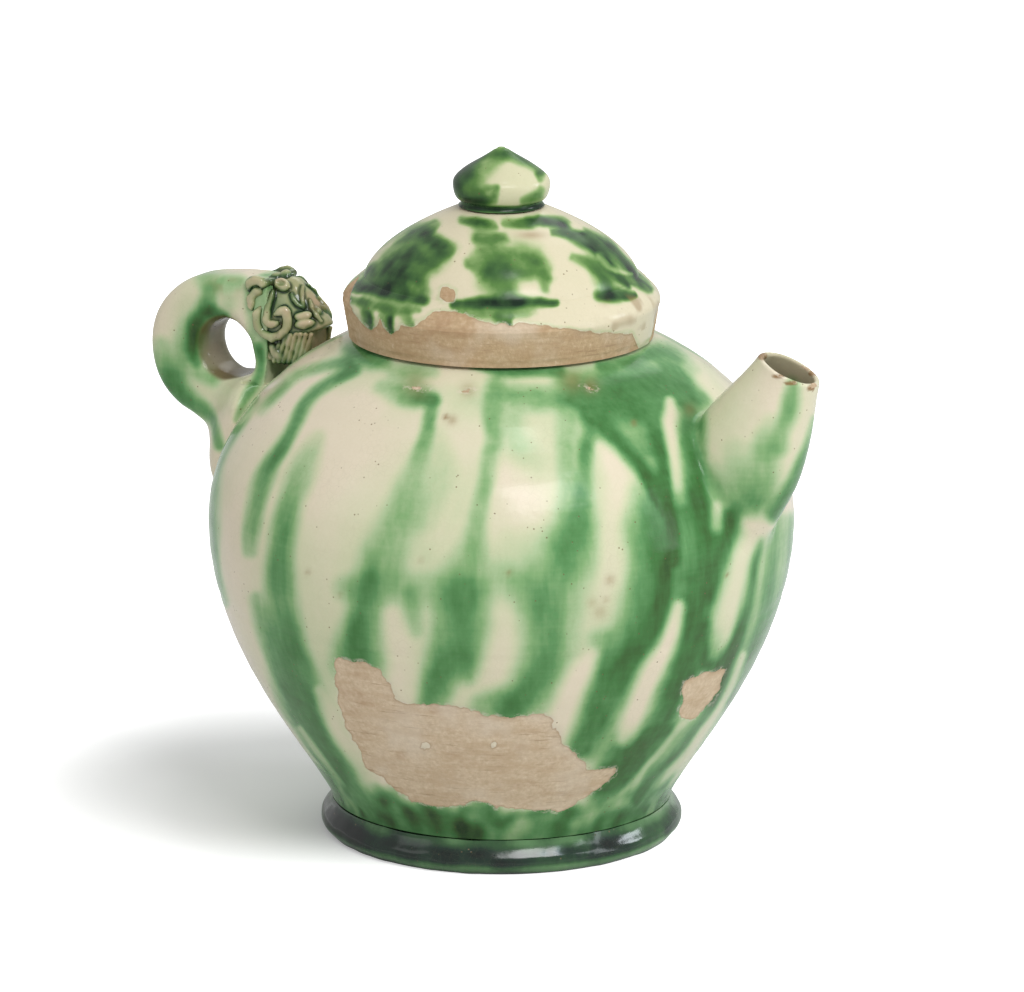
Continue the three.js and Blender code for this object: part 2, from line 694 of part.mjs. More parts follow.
// A leaf-shaped ear with a hollow face, on the slope of the crown. The one at +Y sits lower and further back.
function ear(side, swell) {
  const leaf = new THREE.SphereGeometry(1, 12, 6);
  leaf.scale(2.6 + swell, RELIEF * 0.65 + swell, 1.7 + swell);
  const hollow = new THREE.SphereGeometry(1, 12, 6);
  hollow.scale(1.6, RELIEF * 0.8, 1);
  hollow.translate(0, side * RELIEF * 0.9, 0);
  const place = new THREE.Matrix4().makeRotationX(side * THREE.MathUtils.degToRad(40));
  place.premultiply(new THREE.Matrix4().makeRotationY(THREE.MathUtils.degToRad(14)));
  const [[x, z]] = side < 0 ? fromCurl([[0.26, 2.0]]) : fromCurl([[0.24, 1.84]]);
  place.setPosition(x, side * HEAD_WIDTH * 0.29, z);
  return solidOf(leaf.applyMatrix4(place)).subtract(solidOf(hollow.applyMatrix4(place)));
}

// A fold of the brow: two short rolls that meet in a V above the cheek.
function brow(side, swell) {
  const low = [BROW_X + 3.6, BROW_Z - BROW_FALL];
  const inner = [[BROW_X + 1.5, BROW_Z - BROW_FALL * 0.22], [BROW_X + 2.6, BROW_Z - BROW_FALL * 0.6], low];
  const outer = [[BROW_X + 0.1, BROW_Z - BROW_FALL * 0.44], [BROW_X + 1.7, BROW_Z - BROW_FALL * 0.78], low];
  const width = ROLL_WIDTH * 0.55;
  const height = RELIEF * 0.4;
  return clayRoll(inner, width, height, side, 6, swell).add(clayRoll(outer, width, height, side, 6, swell));
}

// The long lid of the eye, on the edge between the cheek and the sloping face, with the eyeball above it.
function eye(side, swell) {
  const lid = [
    [SNOUT_X - 5.4, SNOUT_Z + 5.4],
    [SNOUT_X - 3.5, SNOUT_Z + 2.5],
    [SNOUT_X - 1.7, SNOUT_Z + 0.5],
  ];
  const ball = new THREE.SphereGeometry(EYE_R + swell, 10, 6);
  ball.translate(SNOUT_X - 3.6, side * EYE_R * 0.95, SNOUT_Z + 2.5);
  return clayRoll(lid, ROLL_WIDTH * 0.6, RELIEF * 0.4, side, 8, swell).add(solidOf(ball));
}

// Two leaf-shaped lobes of the upper lip, behind the muzzle.
function lip(side, swell) {
  const upper = clayLeaf([2.4, RELIEF * 0.8, 1.3], SNOUT_X - 5.8, SNOUT_Z + 1.9, -10, side, swell);
  return upper.add(clayLeaf([2.9, RELIEF * 0.8, 1.3], SNOUT_X - 5.2, SNOUT_Z - 0.1, -10, side, swell));
}

// Upright teeth side by side below the cheek, that bite the shoulder.
function teeth(side, swell) {
  const firstX = CHEEK_X - 1.4;
  const tall = 9;
  const ribs = [];
  for (let k = 0; k < TEETH; k += 1) {
    const x = THREE.MathUtils.lerp(firstX, SNOUT_X - JAW_SETBACK - 0.6, k / (TEETH - 1));
    const rib = new THREE.CylinderGeometry(0.9 + swell, 1.05 + swell, tall + 2 * swell, 6);
    rib.rotateX(Math.PI / 2);
    rib.rotateY(THREE.MathUtils.degToRad(14));
    rib.translate(x, side * (cheekHalf(x) + 0.2), SNOUT_Z - 2.2 - tall / 2);
    ribs.push(solidOf(rib));
  }
  return join(ribs);
}

// A tuft of two lobes, one behind the other, on the crown.
function topknot() {
  const lobe = (x, radius) => {
    const ball = new THREE.SphereGeometry(radius, 10, 6);
    ball.translate(x, 0, crownZ(x) + 1.2 - radius);
    return solidOf(ball);
  };
  return lobe(NECK_FRONT_X - 0.4, 2.2).add(lobe(NECK_FRONT_X + 2, 1.7));
}

// What a relief piece is cut by, so that it seats on the head, the neck and the shoulder.
const headSeat = join([headBlock(GAP), neckSlab(GAP), bodyBulk(GAP), strap(GAP)]);

function reliefMeshes() {
  const meshes = [];
  const makers = {
    mane_curl: maneCurl,
    mane_tongue: maneTongue,
    crest_curl: crestCurl,
    side_lock: sideLock,
    jaw_lock: jawLock,
    ear,
    brow,
    eye,
    lip,
    teeth,
  };
  [-1, 1].forEach((side) => {
    const cheek = side < 0 ? "right" : "left";
    let seat = headSeat;
    Object.entries(makers).forEach(([name, make]) => {
      meshes.push(meshOf(`${name}_${cheek}`, mainLump(make(side, 0).subtract(seat)), OLIVE, 0.3));
      seat = seat.add(make(side, GAP));
    });
  });
  meshes.push(meshOf("topknot", mainLump(topknot().subtract(headSeat)), OLIVE, 0.3));
  return meshes;
}

// Assembly

const ewer = new THREE.Group();
ewer.add(
  meshOf("splayed_foot", splayedFoot(), GREEN, 0.25),
  meshOf("vessel_body", vesselBody(), CREAM, 0.2),
  meshOf("mouth_collar", mouthCollar(), CLAY, 0.6),
  meshOf("spout", spout(), CREAM, 0.25),
  meshOf("handle_loop", handleLoop(), GREEN, 0.25),
  meshOf("handle_neck", handleNeck(), GREEN, 0.25),
  meshOf("beast_head", beastHead(), OLIVE, 0.3),
  ...reliefMeshes(),
);

const lid = new THREE.Group();
lid.add(
  meshOf("lid_cap", lidCap(), GREEN, 0.22),
  meshOf("lid_knob", lidKnob(), GREEN, 0.2),
);
ewer.add(lid);

export default ewer;
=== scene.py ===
"""Dresses the ewer: dense forms of glazed clay over the CAD solids, then floor, light and camera."""

import bpy
import numpy as np
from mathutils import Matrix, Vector


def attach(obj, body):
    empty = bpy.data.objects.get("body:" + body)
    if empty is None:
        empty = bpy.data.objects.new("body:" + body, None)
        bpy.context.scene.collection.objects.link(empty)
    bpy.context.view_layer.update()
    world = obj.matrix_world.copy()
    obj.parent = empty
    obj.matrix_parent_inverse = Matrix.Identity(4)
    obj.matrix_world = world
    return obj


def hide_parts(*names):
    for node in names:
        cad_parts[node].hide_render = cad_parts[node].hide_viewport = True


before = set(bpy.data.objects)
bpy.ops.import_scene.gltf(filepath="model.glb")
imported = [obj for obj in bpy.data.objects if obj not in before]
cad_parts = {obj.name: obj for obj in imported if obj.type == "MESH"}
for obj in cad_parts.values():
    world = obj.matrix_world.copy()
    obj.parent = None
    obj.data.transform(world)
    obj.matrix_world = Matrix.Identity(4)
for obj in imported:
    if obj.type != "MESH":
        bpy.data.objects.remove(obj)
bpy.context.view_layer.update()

# All shapes below are worked out in millimetres, and turned into metres when a mesh is made.
MM = 0.001

# Small maths


def ease(a, b, x):
    """0 at a and before it, 1 at b and past it, with a soft start and end."""
    t = np.clip((x - a) / (b - a), 0.0, 1.0)
    return t * t * (3.0 - 2.0 * t)


def mix(a, b, t):
    return a + (b - a) * t


def soft_min(a, b, k):
    h = np.clip(0.5 + 0.5 * (b - a) / k, 0.0, 1.0)
    return mix(b, a, h) - k * h * (1.0 - h)


def soft_max(a, b, k):
    return -soft_min(-a, -b, k)


# Random values at the corners of unit cubes. They repeat after this many cubes.
LATTICE_SIZE = 32
LATTICE = np.random.default_rng(11).random((LATTICE_SIZE, LATTICE_SIZE, LATTICE_SIZE))


def noise(x, y, z):
    """Smooth random values from 0 to 1, one independent value per unit cube."""
    cells = [np.floor(v).astype(int) for v in (x, y, z)]
    parts = [ease(0, 1, v - c) for v, c in zip((x, y, z), cells)]
    total = 0.0
    for corner in np.ndindex(2, 2, 2):
        share = 1.0
        for step, part in zip(corner, parts):
            share = share * (part if step else 1 - part)
        at = tuple((cell + step) % LATTICE_SIZE for cell, step in zip(cells, corner))
        total = total + share * LATTICE[at]
    return total


def lumps(place, wide, tall=None, shift_x=0.0, shift_y=0.0):
    """Noise at a place (x, y, z) in lumps that are so many millimetres wide and tall."""
    x, y, z = place
    return noise(x / wide + shift_x, y / wide + shift_y, z / (tall or wide))


def bezier(points, count):
    """Points of a Bezier curve of any order, ends included."""
    points = [np.asarray(p, float) for p in points]
    t = np.linspace(0.0, 1.0, count)[:, None]
    line = [np.repeat(p[None], count, 0) for p in points]
    while len(line) > 1:
        line = [mix(a, b, t) for a, b in zip(line[:-1], line[1:])]
    return line[0]


def spline(points, step):
    """A smooth line through the points, in steps of about the given length."""
    p = np.asarray(points, float)
    p = np.vstack([2 * p[0] - p[1], p, 2 * p[-1] - p[-2]])
    out = []
    for k in range(1, len(p) - 2):
        count = max(2, int(np.ceil(np.linalg.norm((p[k + 1] - p[k])[:2]) / step)))
        t = np.linspace(0, 1, count, endpoint=False)[:, None]
        a, b, c, d = p[k - 1:k + 3]
        out.append(0.5 * (2 * b + (c - a) * t + (2 * a - 5 * b + 4 * c - d) * t ** 2
                          + (3 * b - a - 3 * c + d) * t ** 3))
    out.append(p[-2][None])
    return np.vstack(out)


def even(points, step):
    """The same line with its points an even step apart."""
    points = np.asarray(points, float)
    run = np.concatenate([[0], np.cumsum(np.linalg.norm(np.diff(points, axis=0), axis=1))])
    count = max(2, int(round(run[-1] / step)) + 1)
    at = np.linspace(0, run[-1], count)
    return np.stack([np.interp(at, run, points[:, k]) for k in range(points.shape[1])], 1)


def polygon_distance(corners, u, v):
    """Distance to a closed outline, negative inside it."""
    corners = np.asarray(corners, float)
    best = np.full(np.shape(u), 1e9)
    inside = np.zeros(np.shape(u), bool)
    for (au, av), (bu, bv) in zip(corners, np.roll(corners, -1, 0)):
        du, dv = bu - au, bv - av
        t = np.clip(((u - au) * du + (v - av) * dv) / (du * du + dv * dv + 1e-12), 0, 1)
        best = np.minimum(best, (u - au - t * du) ** 2 + (v - av - t * dv) ** 2)
        if av != bv:
            crossing = (av > v) != (bv > v)
            inside ^= crossing & (u < (bu - au) * (v - av) / (bv - av) + au)
    best = np.sqrt(best)
    return np.where(inside, -best, best)


class Table:
    """A function of two lengths, worked out on a grid once and read between its points."""

    def __init__(self, field, low, high, step):
        self.low = low
        self.step = step
        a = np.arange(low[0], high[0] + step, step)
        b = np.arange(low[1], high[1] + step, step)
        self.values = field(*np.meshgrid(a, b, indexing="ij"))

    def __call__(self, a, b):
        n, m = self.values.shape
        i = np.clip((a - self.low[0]) / self.step, 0, n - 1.001)
        j = np.clip((b - self.low[1]) / self.step, 0, m - 1.001)
        i0 = i.astype(int)
        j0 = j.astype(int)
        s = i - i0
        t = j - j0
        v = self.values
        return ((v[i0, j0] * (1 - s) + v[i0 + 1, j0] * s) * (1 - t)
                + (v[i0, j0 + 1] * (1 - s) + v[i0 + 1, j0 + 1] * s) * t)


# Meshes


def link(name, data):
    thing = bpy.data.objects.new(name, data)
    bpy.context.scene.collection.objects.link(thing)
    return thing


def mesh_of(name, points, faces, sharp=40.0):
    """A closed mesh from points in millimetres and faces, smooth but for edges above an angle."""
    mesh = bpy.data.meshes.new(name)
    mesh.from_pydata((np.asarray(points) * MM).tolist(), [], faces)
    mesh.validate()
    mesh.shade_smooth()
    mesh.set_sharp_from_angle(angle=np.radians(sharp))
    return link(name, mesh)


def points_of(thing):
    flat = np.empty(len(thing.data.vertices) * 3, np.float32)
    thing.data.vertices.foreach_get("co", flat)
    return flat.reshape(-1, 3).astype(float) / MM


def write_values(thing, **values):
    for name, value in values.items():
        layer = thing.data.attributes.new(name, "FLOAT", "POINT")
        layer.data.foreach_set("value", np.asarray(value, np.float32))


# The pot's front and half the wide side that faces it, as angles round the upright in degrees
FRONT = -60.0
FRONT_HALF = 82.0


def turn(fine, coarse):
    """Angles of a full turn in radians, closer together on the side that faces the front."""
    near = np.linspace(-FRONT_HALF, FRONT_HALF, fine, endpoint=False)
    far = np.linspace(FRONT_HALF, 360 - FRONT_HALF, coarse, endpoint=False)
    return np.radians(FRONT + np.concatenate([near, far]))


def around(angle, radius, height):
    return radius * np.cos(angle), radius * np.sin(angle), height


def on_ring(angle, radius, height):
    """Points in rows of (x, y, z)."""
    return np.stack(around(angle, radius, height), -1).reshape(-1, 3)


def lathe(name, outline, angles, push):
    """A turned solid. The outline of (radius, height) runs from axis to axis, up the outside first.
    push gives how far each point moves outwards from its angle, radius and height."""
    outline = np.asarray(outline, float)
    rings = outline[1:-1]
    n = len(angles)
    along = np.gradient(outline, axis=0)[1:-1]
    along /= np.linalg.norm(along, axis=1)[:, None] + 1e-12
    radius = np.repeat(rings[:, :1], n, 1)
    height = np.repeat(rings[:, 1:], n, 1)
    angle = np.repeat(angles[None], len(rings), 0)
    moved = push(angle, radius, height)
    points = on_ring(angle, radius + moved * along[:, 1:], height - moved * along[:, :1])
    first = len(points)
    points = np.vstack([points, [0, 0, outline[0, 1]], [0, 0, outline[-1, 1]]])
    i = np.repeat(np.arange(len(rings) - 1), n) * n
    j = np.tile(np.arange(n), len(rings) - 1)
    k = (j + 1) % n
    quads = np.stack([i + j, i + k, i + n + k, i + n + j], 1).tolist()
    last = (len(rings) - 1) * n
    caps = [[first, (a + 1) % n, a] for a in range(n)]
    caps += [[first + 1, last + a, last + (a + 1) % n] for a in range(n)]
    return mesh_of(name, points, quads + caps)


def net(name, field, low, high, step):
    """The closed surface where a field is zero, found on a grid: one point per cell that it crosses."""
    low = np.asarray(low, float)
    count = np.ceil((np.asarray(high, float) - low) / step).astype(int) + 1
    grid = field(*np.meshgrid(*(low[k] + step * np.arange(count[k]) for k in range(3)), indexing="ij"))
    for axis in range(3):
        rim = np.moveaxis(grid, axis, 0)
        for end in (0, -1):
            rim[end] = np.maximum(rim[end], 0.01)
    inside = grid < 0
    cells = count - 1
    total = int(np.prod(cells))
    sums = np.zeros((total, 3))
    hits = np.zeros(total)
    quads = []
    for axis in range(3):
        a = [slice(None)] * 3
        b = [slice(None)] * 3
        a[axis] = slice(None, -1)
        b[axis] = slice(1, None)
        at = np.argwhere(inside[tuple(a)] != inside[tuple(b)])
        start = grid[tuple(a)][tuple(at.T)]
        stop = grid[tuple(b)][tuple(at.T)]
        place = at.astype(float)
        place[:, axis] += start / (start - stop)
        p, q = [(1, 2), (2, 0), (0, 1)][axis]
        corners = []
        for dp, dq in ((-1, -1), (0, -1), (0, 0), (-1, 0)):
            cell = at.copy()
            cell[:, p] += dp
            cell[:, q] += dq
            index = (cell[:, 0] * cells[1] + cell[:, 1]) * cells[2] + cell[:, 2]
            corners.append(index)
            for k in range(3):
                sums[:, k] += np.bincount(index, place[:, k], total)
            hits += np.bincount(index, minlength=total)
        ring = np.stack(corners, 1)
        going_in = start > 0
        ring[going_in] = ring[going_in][:, ::-1]
        quads.append(ring)
    used = hits > 0
    number = np.cumsum(used) - 1
    points = low + step * sums[used] / hits[used][:, None]
    quads = number[np.vstack(quads)]
    # Two steps along the field's slope bring the points onto the surface.
    e = step * 0.2
    for _ in range(2):
        rises = [field(*(points + d).T) - field(*(points - d).T) for d in e * np.eye(3)]
        slope = np.stack(rises, 1) / (2 * e)
        move = field(*points.T)[:, None] * slope / np.maximum((slope ** 2).sum(1), 0.2)[:, None]
        size = np.linalg.norm(move, axis=1)[:, None]
        points = points - move * np.minimum(1, 0.5 * step / np.maximum(size, 1e-9))
    return mesh_of(name, points, quads.tolist(), sharp=50.0)


# Turned forms: outlines as the pot was thrown, as (radius, height)

WAIST = (44.4, 9.2)
BELLY = (75.8, 82.9)
MOUTH = (33.0, 132.7)
WALL = 4.4
FLOOR_Z = 14.4
THROAT_R = 29.4

# How far the body's two curves keep straight on from the waist, below and above the belly, and from the mouth
WAIST_PULL = 10.4
BELLY_PULL_DOWN = 35.4
BELLY_PULL_UP = 23.2
MOUTH_PULL = 24.7
WAIST_LEAN = np.radians(15)
SHOULDER_FALL = np.radians(18.8)


def body_line():
    """The body's outside from the waist over the belly to the mouth."""
    from_waist = (WAIST[0] + WAIST_PULL * np.sin(WAIST_LEAN), WAIST[1] + WAIST_PULL * np.cos(WAIST_LEAN))
    to_mouth = (MOUTH[0] + MOUTH_PULL * np.cos(SHOULDER_FALL), MOUTH[1] - MOUTH_PULL * np.sin(SHOULDER_FALL))
    low = bezier([WAIST, from_waist, (BELLY[0], BELLY[1] - BELLY_PULL_DOWN), BELLY], 200)
    high = bezier([BELLY, (BELLY[0], BELLY[1] + BELLY_PULL_UP), to_mouth, MOUTH], 200)
    return np.vstack([low, high[1:]])


BODY_LINE = body_line()
BODY_TABLE = Table(
    lambda r, z: polygon_distance(np.vstack([[0, WAIST[1]], BODY_LINE[::4], MOUTH, [0, MOUTH[1]]]), r, z),
    (0, 0), (110, 190), 0.4)
# Heights and depths of the rings that the thrower's fingers left, and how wide they are
THROWN_RINGS = ((64.5, 0.12), (61.0, 0.09), (22.0, 0.1), (31.0, 0.06), (112.5, 0.04), (118.0, 0.05))
THROWN_WIDE = 0.9


def ripple(z):
    """Throwing rings on the body: faint ridges, deeper at a few heights. Never outwards."""
    wave = 0.012 * np.sin(z * 2.1) + 0.03 * np.sin(z * 0.83 + 1.3)
    for height, depth in THROWN_RINGS:
        wave = wave - depth * np.exp(-((z - height) / THROWN_WIDE) ** 2)
    return wave - 0.14


def on_body(x, y, z):
    """Distance to the body's outer surface, negative inside the bulk that it encloses."""
    return BODY_TABLE(np.hypot(x, y), z) - ripple(z)


def join(form, base, blend, limit, above=0.05, sunk=0.7):
    """A form run softly into the surface under it and sunk a little below that, kept inside a limit."""
    joined = np.maximum(soft_min(form, base + above, blend), -(base + sunk))
    return np.maximum(joined, limit)


def bend(line, controls, count):
    """The line with a curve added, from its last point along the control points."""
    return line + [tuple(p) for p in bezier([line[-1], *controls], count)[1:]]


# The front drawing: every place is seen from one fixed direction, 1600 mm from the pot, and the glaze is
# drawn there in drawing units of about a quarter of a millimetre, across and down.

AHEAD = np.array([0.4841, -0.8384, 0.2504])
AHEAD /= np.linalg.norm(AHEAD)
ACROSS = np.array([0.8660, 0.5, 0.0])
UPWARDS = np.cross(AHEAD, ACROSS)
DRAWING_CENTRE = (501.3, 496.0)
DRAWING_AIM = 88.1
DRAWING_FAR = 1600.0
DRAWING_SCALE = 6193.6
# Millimetres of the pot in a drawing unit, and in a degree round its far side
DRAWING_UNIT = 0.26
DEGREE_WIDTH = 1.15


def drawn(points):
    """Where points lie in the drawing, across and down."""
    q = points - np.array([0, 0, DRAWING_AIM])
    shrink = DRAWING_SCALE / (DRAWING_FAR - q @ AHEAD)
    return DRAWING_CENTRE[0] + shrink * (q @ ACROSS), DRAWING_CENTRE[1] - shrink * (q @ UPWARDS)


def facing(x, y):
    """How much a place on the pot's side faces the drawing: about 1 in front, 0 at the sides."""
    return (x * AHEAD[0] + y * AHEAD[1]) / np.maximum(np.hypot(x, y), 1)


def oval(u, v, centre_u, centre_v, wide, tall):
    """Distance from the middle of an oval in the drawing, 1 on its outline."""
    return np.hypot((u - centre_u) / wide, (v - centre_v) / tall)


def spot(u, v, centre_u, centre_v, wide, tall):
    """A soft oval spot in the drawing, 1 in its middle."""
    return np.exp(-oval(u, v, centre_u, centre_v, wide, tall) ** 2)


# How much wider the strokes are laid than they are written, and the greenest that runs get on the body
BRUSH_WIDENS = 1.06
MOST_GREEN = 0.84
# The value of fully glazed places in a map of bare clay, and how deep the flaked patches lie
NOT_BARE = -20.0
FLAKE_DEPTH = 0.32


def brush(strokes, u, v, soft=1.0):
    """How green the strokes leave each place. A stroke is a list of (u, v, half width, strength)."""
    clear = np.ones(np.shape(u))
    for stroke in strokes:
        line = even(spline(stroke, 6), 7)
        reach = line[:, 2].max() * 3.2 + 4
        near = ((u > line[:, 0].min() - reach) & (u < line[:, 0].max() + reach)
                & (v > line[:, 1].min() - reach) & (v < line[:, 1].max() + reach))
        if not near.any():
            continue
        un, vn = u[near], v[near]
        best = np.full(un.shape, 9.0)
        strength = np.zeros(un.shape)
        for a, b in zip(line[:-1], line[1:]):
            du, dv = b[0] - a[0], b[1] - a[1]
            t = np.clip(((un - a[0]) * du + (vn - a[1]) * dv) / (du * du + dv * dv + 1e-9), 0, 1)
            wide = mix(a[2], b[2], t)
            far = np.hypot(un - a[0] - t * du, vn - a[1] - t * dv) / (BRUSH_WIDENS * wide)
            closer = far < best
            best = np.where(closer, far, best)
            strength = np.where(closer, mix(a[3], b[3], t), strength)
        clear[near] *= 1 - strength * (1 - ease(0.15, 1.0 + 0.75 * soft, best))
    return 1 - clear


# Green glaze on the front of the body. Each run of colour starts near the mouth and follows the slope down.

BODY_RUNS = [
    [(255, 400, 5, .45), (238, 425, 6, .5), (224, 450, 6, .5), (215, 480, 7, .5), (213, 514, 7, .55),
     (213, 547, 7, .55), (217, 575, 6, .5), (224, 602, 6, .35)],
    [(352, 369, 7, .75), (338, 377, 6, .75), (325, 385, 6, .7), (313, 394, 6, .72), (303, 407, 6, .7),
     (292, 428, 6, .65), (283, 445, 7, .65), (272, 462, 7, .65), (266, 476, 8, .62), (260, 495, 8, .6),
     (255, 515, 8, .52), (251, 535, 7, .45), (250, 552, 6, .35)],
    [(346, 362, 6, .6), (325, 366, 6, .45), (300, 374, 6, .4), (285, 386, 6, .4), (272, 400, 6, .38),
     (263, 410, 6, .2)],
    [(350, 350, 9, .6), (364, 355, 11, .85), (382, 362, 8, .6)],
    [(316, 438, 8, .15), (306, 460, 12, .32), (298, 480, 14, .44), (290, 500, 12, .5), (285, 520, 12, .52),
     (281, 545, 12, .58), (279, 570, 13, .62), (279, 600, 14, .62), (282, 622, 15, .66), (287, 646, 16, .72),
     (294, 672, 16, .76), (303, 700, 17, .78), (315, 726, 15, .76), (328, 748, 14, .72), (345, 772, 14, .68),
     (362, 796, 13, .6), (378, 812, 12, .6)],
    [(255, 598, 6, .32), (262, 625, 8, .45), (269, 645, 9, .5), (277, 668, 9, .5), (287, 692, 8, .5),
     (299, 716, 6, .45), (318, 746, 6, .45), (344, 782, 6, .4)],
    [(392, 370, 7, .3), (415, 371, 9, .42), (434, 371, 7, .35)],
    [(382, 388, 8, .3), (400, 392, 12, .5), (418, 395, 12, .6), (430, 398, 8, .5)],
    [(404, 400, 6, .4), (420, 399, 7, .6), (432, 400, 6, .6)],
    [(432, 402, 6, .5), (430, 418, 6, .6), (427, 434, 7, .5), (422, 450, 8, .38), (417, 466, 10, .35),
     (411, 485, 14, .34), (405, 505, 17, .36), (397, 525, 19, .38), (389, 545, 20, .42), (382, 562, 20, .48),
     (374, 582, 18, .54), (369, 600, 16, .6), (365, 620, 16, .62), (362, 640, 20, .66), (362, 662, 24, .7)],
    [(370, 580, 8, .25), (368, 605, 8, .25), (365, 630, 10, .25)],
    [(436, 440, 12, .12), (440, 465, 14, .2), (432, 490, 14, .2), (424, 520, 12, .15)],
    [(493, 382, 9, .42), (492, 400, 10, .48), (492, 420, 9, .52), (493, 440, 9, .42), (490, 460, 10, .4),
     (486, 476, 9, .42), (481, 492, 8, .42), (477, 510, 9, .42), (474, 530, 11, .42), (470, 550, 14, .42),
     (464, 570, 18, .48), (458, 590, 21, .52), (455, 612, 22, .56), (451, 635, 20, .62), (444, 658, 19, .68),
     (438, 680, 16, .7), (432, 704, 14, .68)],
    [(468, 598, 18, .45), (471, 622, 18, .5), (471, 645, 18, .52), (468, 662, 15, .55), (466, 673, 11, .45)],
    [(350, 588, 13, .28), (385, 586, 15, .32), (420, 590, 15, .34), (455, 590, 15, .34),
     (485, 590, 13, .25)],
    [(409, 594, 8, .3), (410, 615, 9, .34), (411, 630, 8, .28)],
    [(470, 366, 3, .6), (500, 371, 6, .8), (530, 371, 6, .8), (560, 371, 6, .7)],
    [(505, 390, 8, .3), (525, 398, 12, .48), (548, 398, 12, .42), (566, 396, 10, .4)],
    [(508, 400, 10, .25), (512, 425, 14, .22), (520, 450, 16, .18), (530, 470, 16, .12)],
    [(568, 402, 11, .32), (568, 432, 10, .34), (570, 460, 10, .32), (573, 490, 12, .36), (569, 515, 15, .36),
     (560, 538, 18, .32)],
    [(590, 418, 9, .75), (589, 438, 7, .66), (588, 460, 7, .56), (586, 490, 8, .52), (584, 514, 10, .5),
     (579, 534, 17, .5), (573, 550, 22, .52), (565, 566, 24, .58), (557, 582, 25, .6), (551, 600, 25, .6),
     (548, 620, 24, .62), (547, 642, 24, .68), (545, 662, 23, .72), (536, 684, 22, .75), (522, 702, 19, .76),
     (508, 714, 14, .7)],
    [(500, 575, 14, .2), (522, 590, 14, .28), (524, 606, 10, .2)],
    [(500, 700, 14, .55), (482, 706, 12, .45)],
    [(565, 380, 12, .5), (590, 384, 14, .6), (620, 384, 16, .66), (650, 382, 18, .66), (676, 384, 16, .66),
     (700, 398, 10, .6)],
    [(582, 398, 12, .7), (612, 402, 18, .72), (645, 402, 18, .72), (672, 394, 12, .6)],
    [(600, 366, 6, .6), (630, 362, 7, .6), (652, 352, 8, .6), (672, 356, 12, .6), (690, 372, 9, .5)],
    [(592, 412, 12, .75), (603, 424, 12, .84), (616, 438, 10, .86), (630, 452, 9, .86), (642, 466, 8, .86),
     (650, 480, 8, .86), (658, 492, 8, .86), (667, 504, 7, .86), (673, 518, 6, .84), (675, 538, 6, .82),
     (674, 560, 7, .8)],
    [(628, 412, 14, .5), (640, 432, 13, .5), (648, 448, 10, .5)],
    [(650, 404, 8, .66), (656, 428, 8, .74), (660, 452, 8, .8), (664, 474, 8, .84), (668, 496, 6, .84)],
    [(634, 490, 8, .2), (640, 520, 12, .28), (642, 550, 12, .3)],
    [(655, 500, 12, .42), (657, 525, 15, .52), (657, 550, 18, .58), (655, 572, 22, .66), (651, 596, 24, .7),
     (645, 620, 21, .74), (632, 645, 20, .76), (619, 670, 19, .76), (606, 696, 18, .78), (595, 720, 18, .8),
     (586, 742, 16, .8)],
    [(668, 562, 7, .5), (664, 584, 8, .6), (660, 602, 8, .6), (652, 624, 8, .6), (640, 646, 8, .6),
     (625, 668, 9, .62), (612, 690, 9, .62), (601, 706, 9, .62), (592, 726, 8, .62), (582, 748, 8, .6)],
    [(602, 640, 12, .35), (600, 665, 8, .4), (590, 690, 7, .35)],
    [(686, 398, 9, .6), (690, 420, 9, .7), (690, 445, 10, .62), (694, 470, 10, .6), (698, 495, 11, .6),
     (702, 520, 11, .58), (704, 545, 12, .6), (703, 568, 13, .66), (698, 592, 15, .72), (693, 616, 14, .76),
     (687, 642, 13, .72), (679, 666, 13, .72), (671, 690, 14, .76), (662, 714, 15, .76), (650, 736, 19, .76),
     (634, 756, 22, .76), (619, 772, 20, .78), (600, 790, 14, .7)],
    [(682, 500, 9, .36), (686, 540, 9, .38), (686, 575, 9, .36)],
    [(648, 736, 8, .6), (668, 730, 6, .5)],
    [(720, 556, 10, .3), (722, 530, 12, .42), (731, 516, 9, .5)],
    [(733, 515, 7, .5), (729, 535, 8, .52), (722, 555, 9, .52), (716, 575, 9, .5), (710, 595, 9, .5)],
    [(757, 540, 5, .6), (753, 560, 7, .62), (749, 590, 7, .62), (743, 615, 8, .66), (735, 640, 8, .7),
     (725, 662, 8, .72), (706, 712, 6, .6), (690, 732, 6, .62), (668, 762, 6, .62), (648, 784, 6, .62),
     (632, 802, 6, .6)],
    [(705, 630, 10, .42), (700, 655, 12, .5), (690, 672, 9, .5)],
    [(712, 640, 9, .35), (710, 665, 9, .4)],
    [(776, 520, 8, .35), (772, 560, 7, .4), (766, 600, 7, .45), (756, 640, 7, .5), (744, 672, 7, .5),
     (728, 702, 6, .5)],
    [(794, 520, 8, .5), (790, 565, 8, .55), (780, 610, 8, .55), (764, 652, 8, .55), (745, 688, 7, .55),
     (722, 722, 7, .5), (700, 752, 6, .4)],
    [(716, 470, 14, .3), (735, 490, 16, .42), (752, 500, 14, .42)],
    [(620, 745, 12, .3), (606, 768, 10, .4)],
]

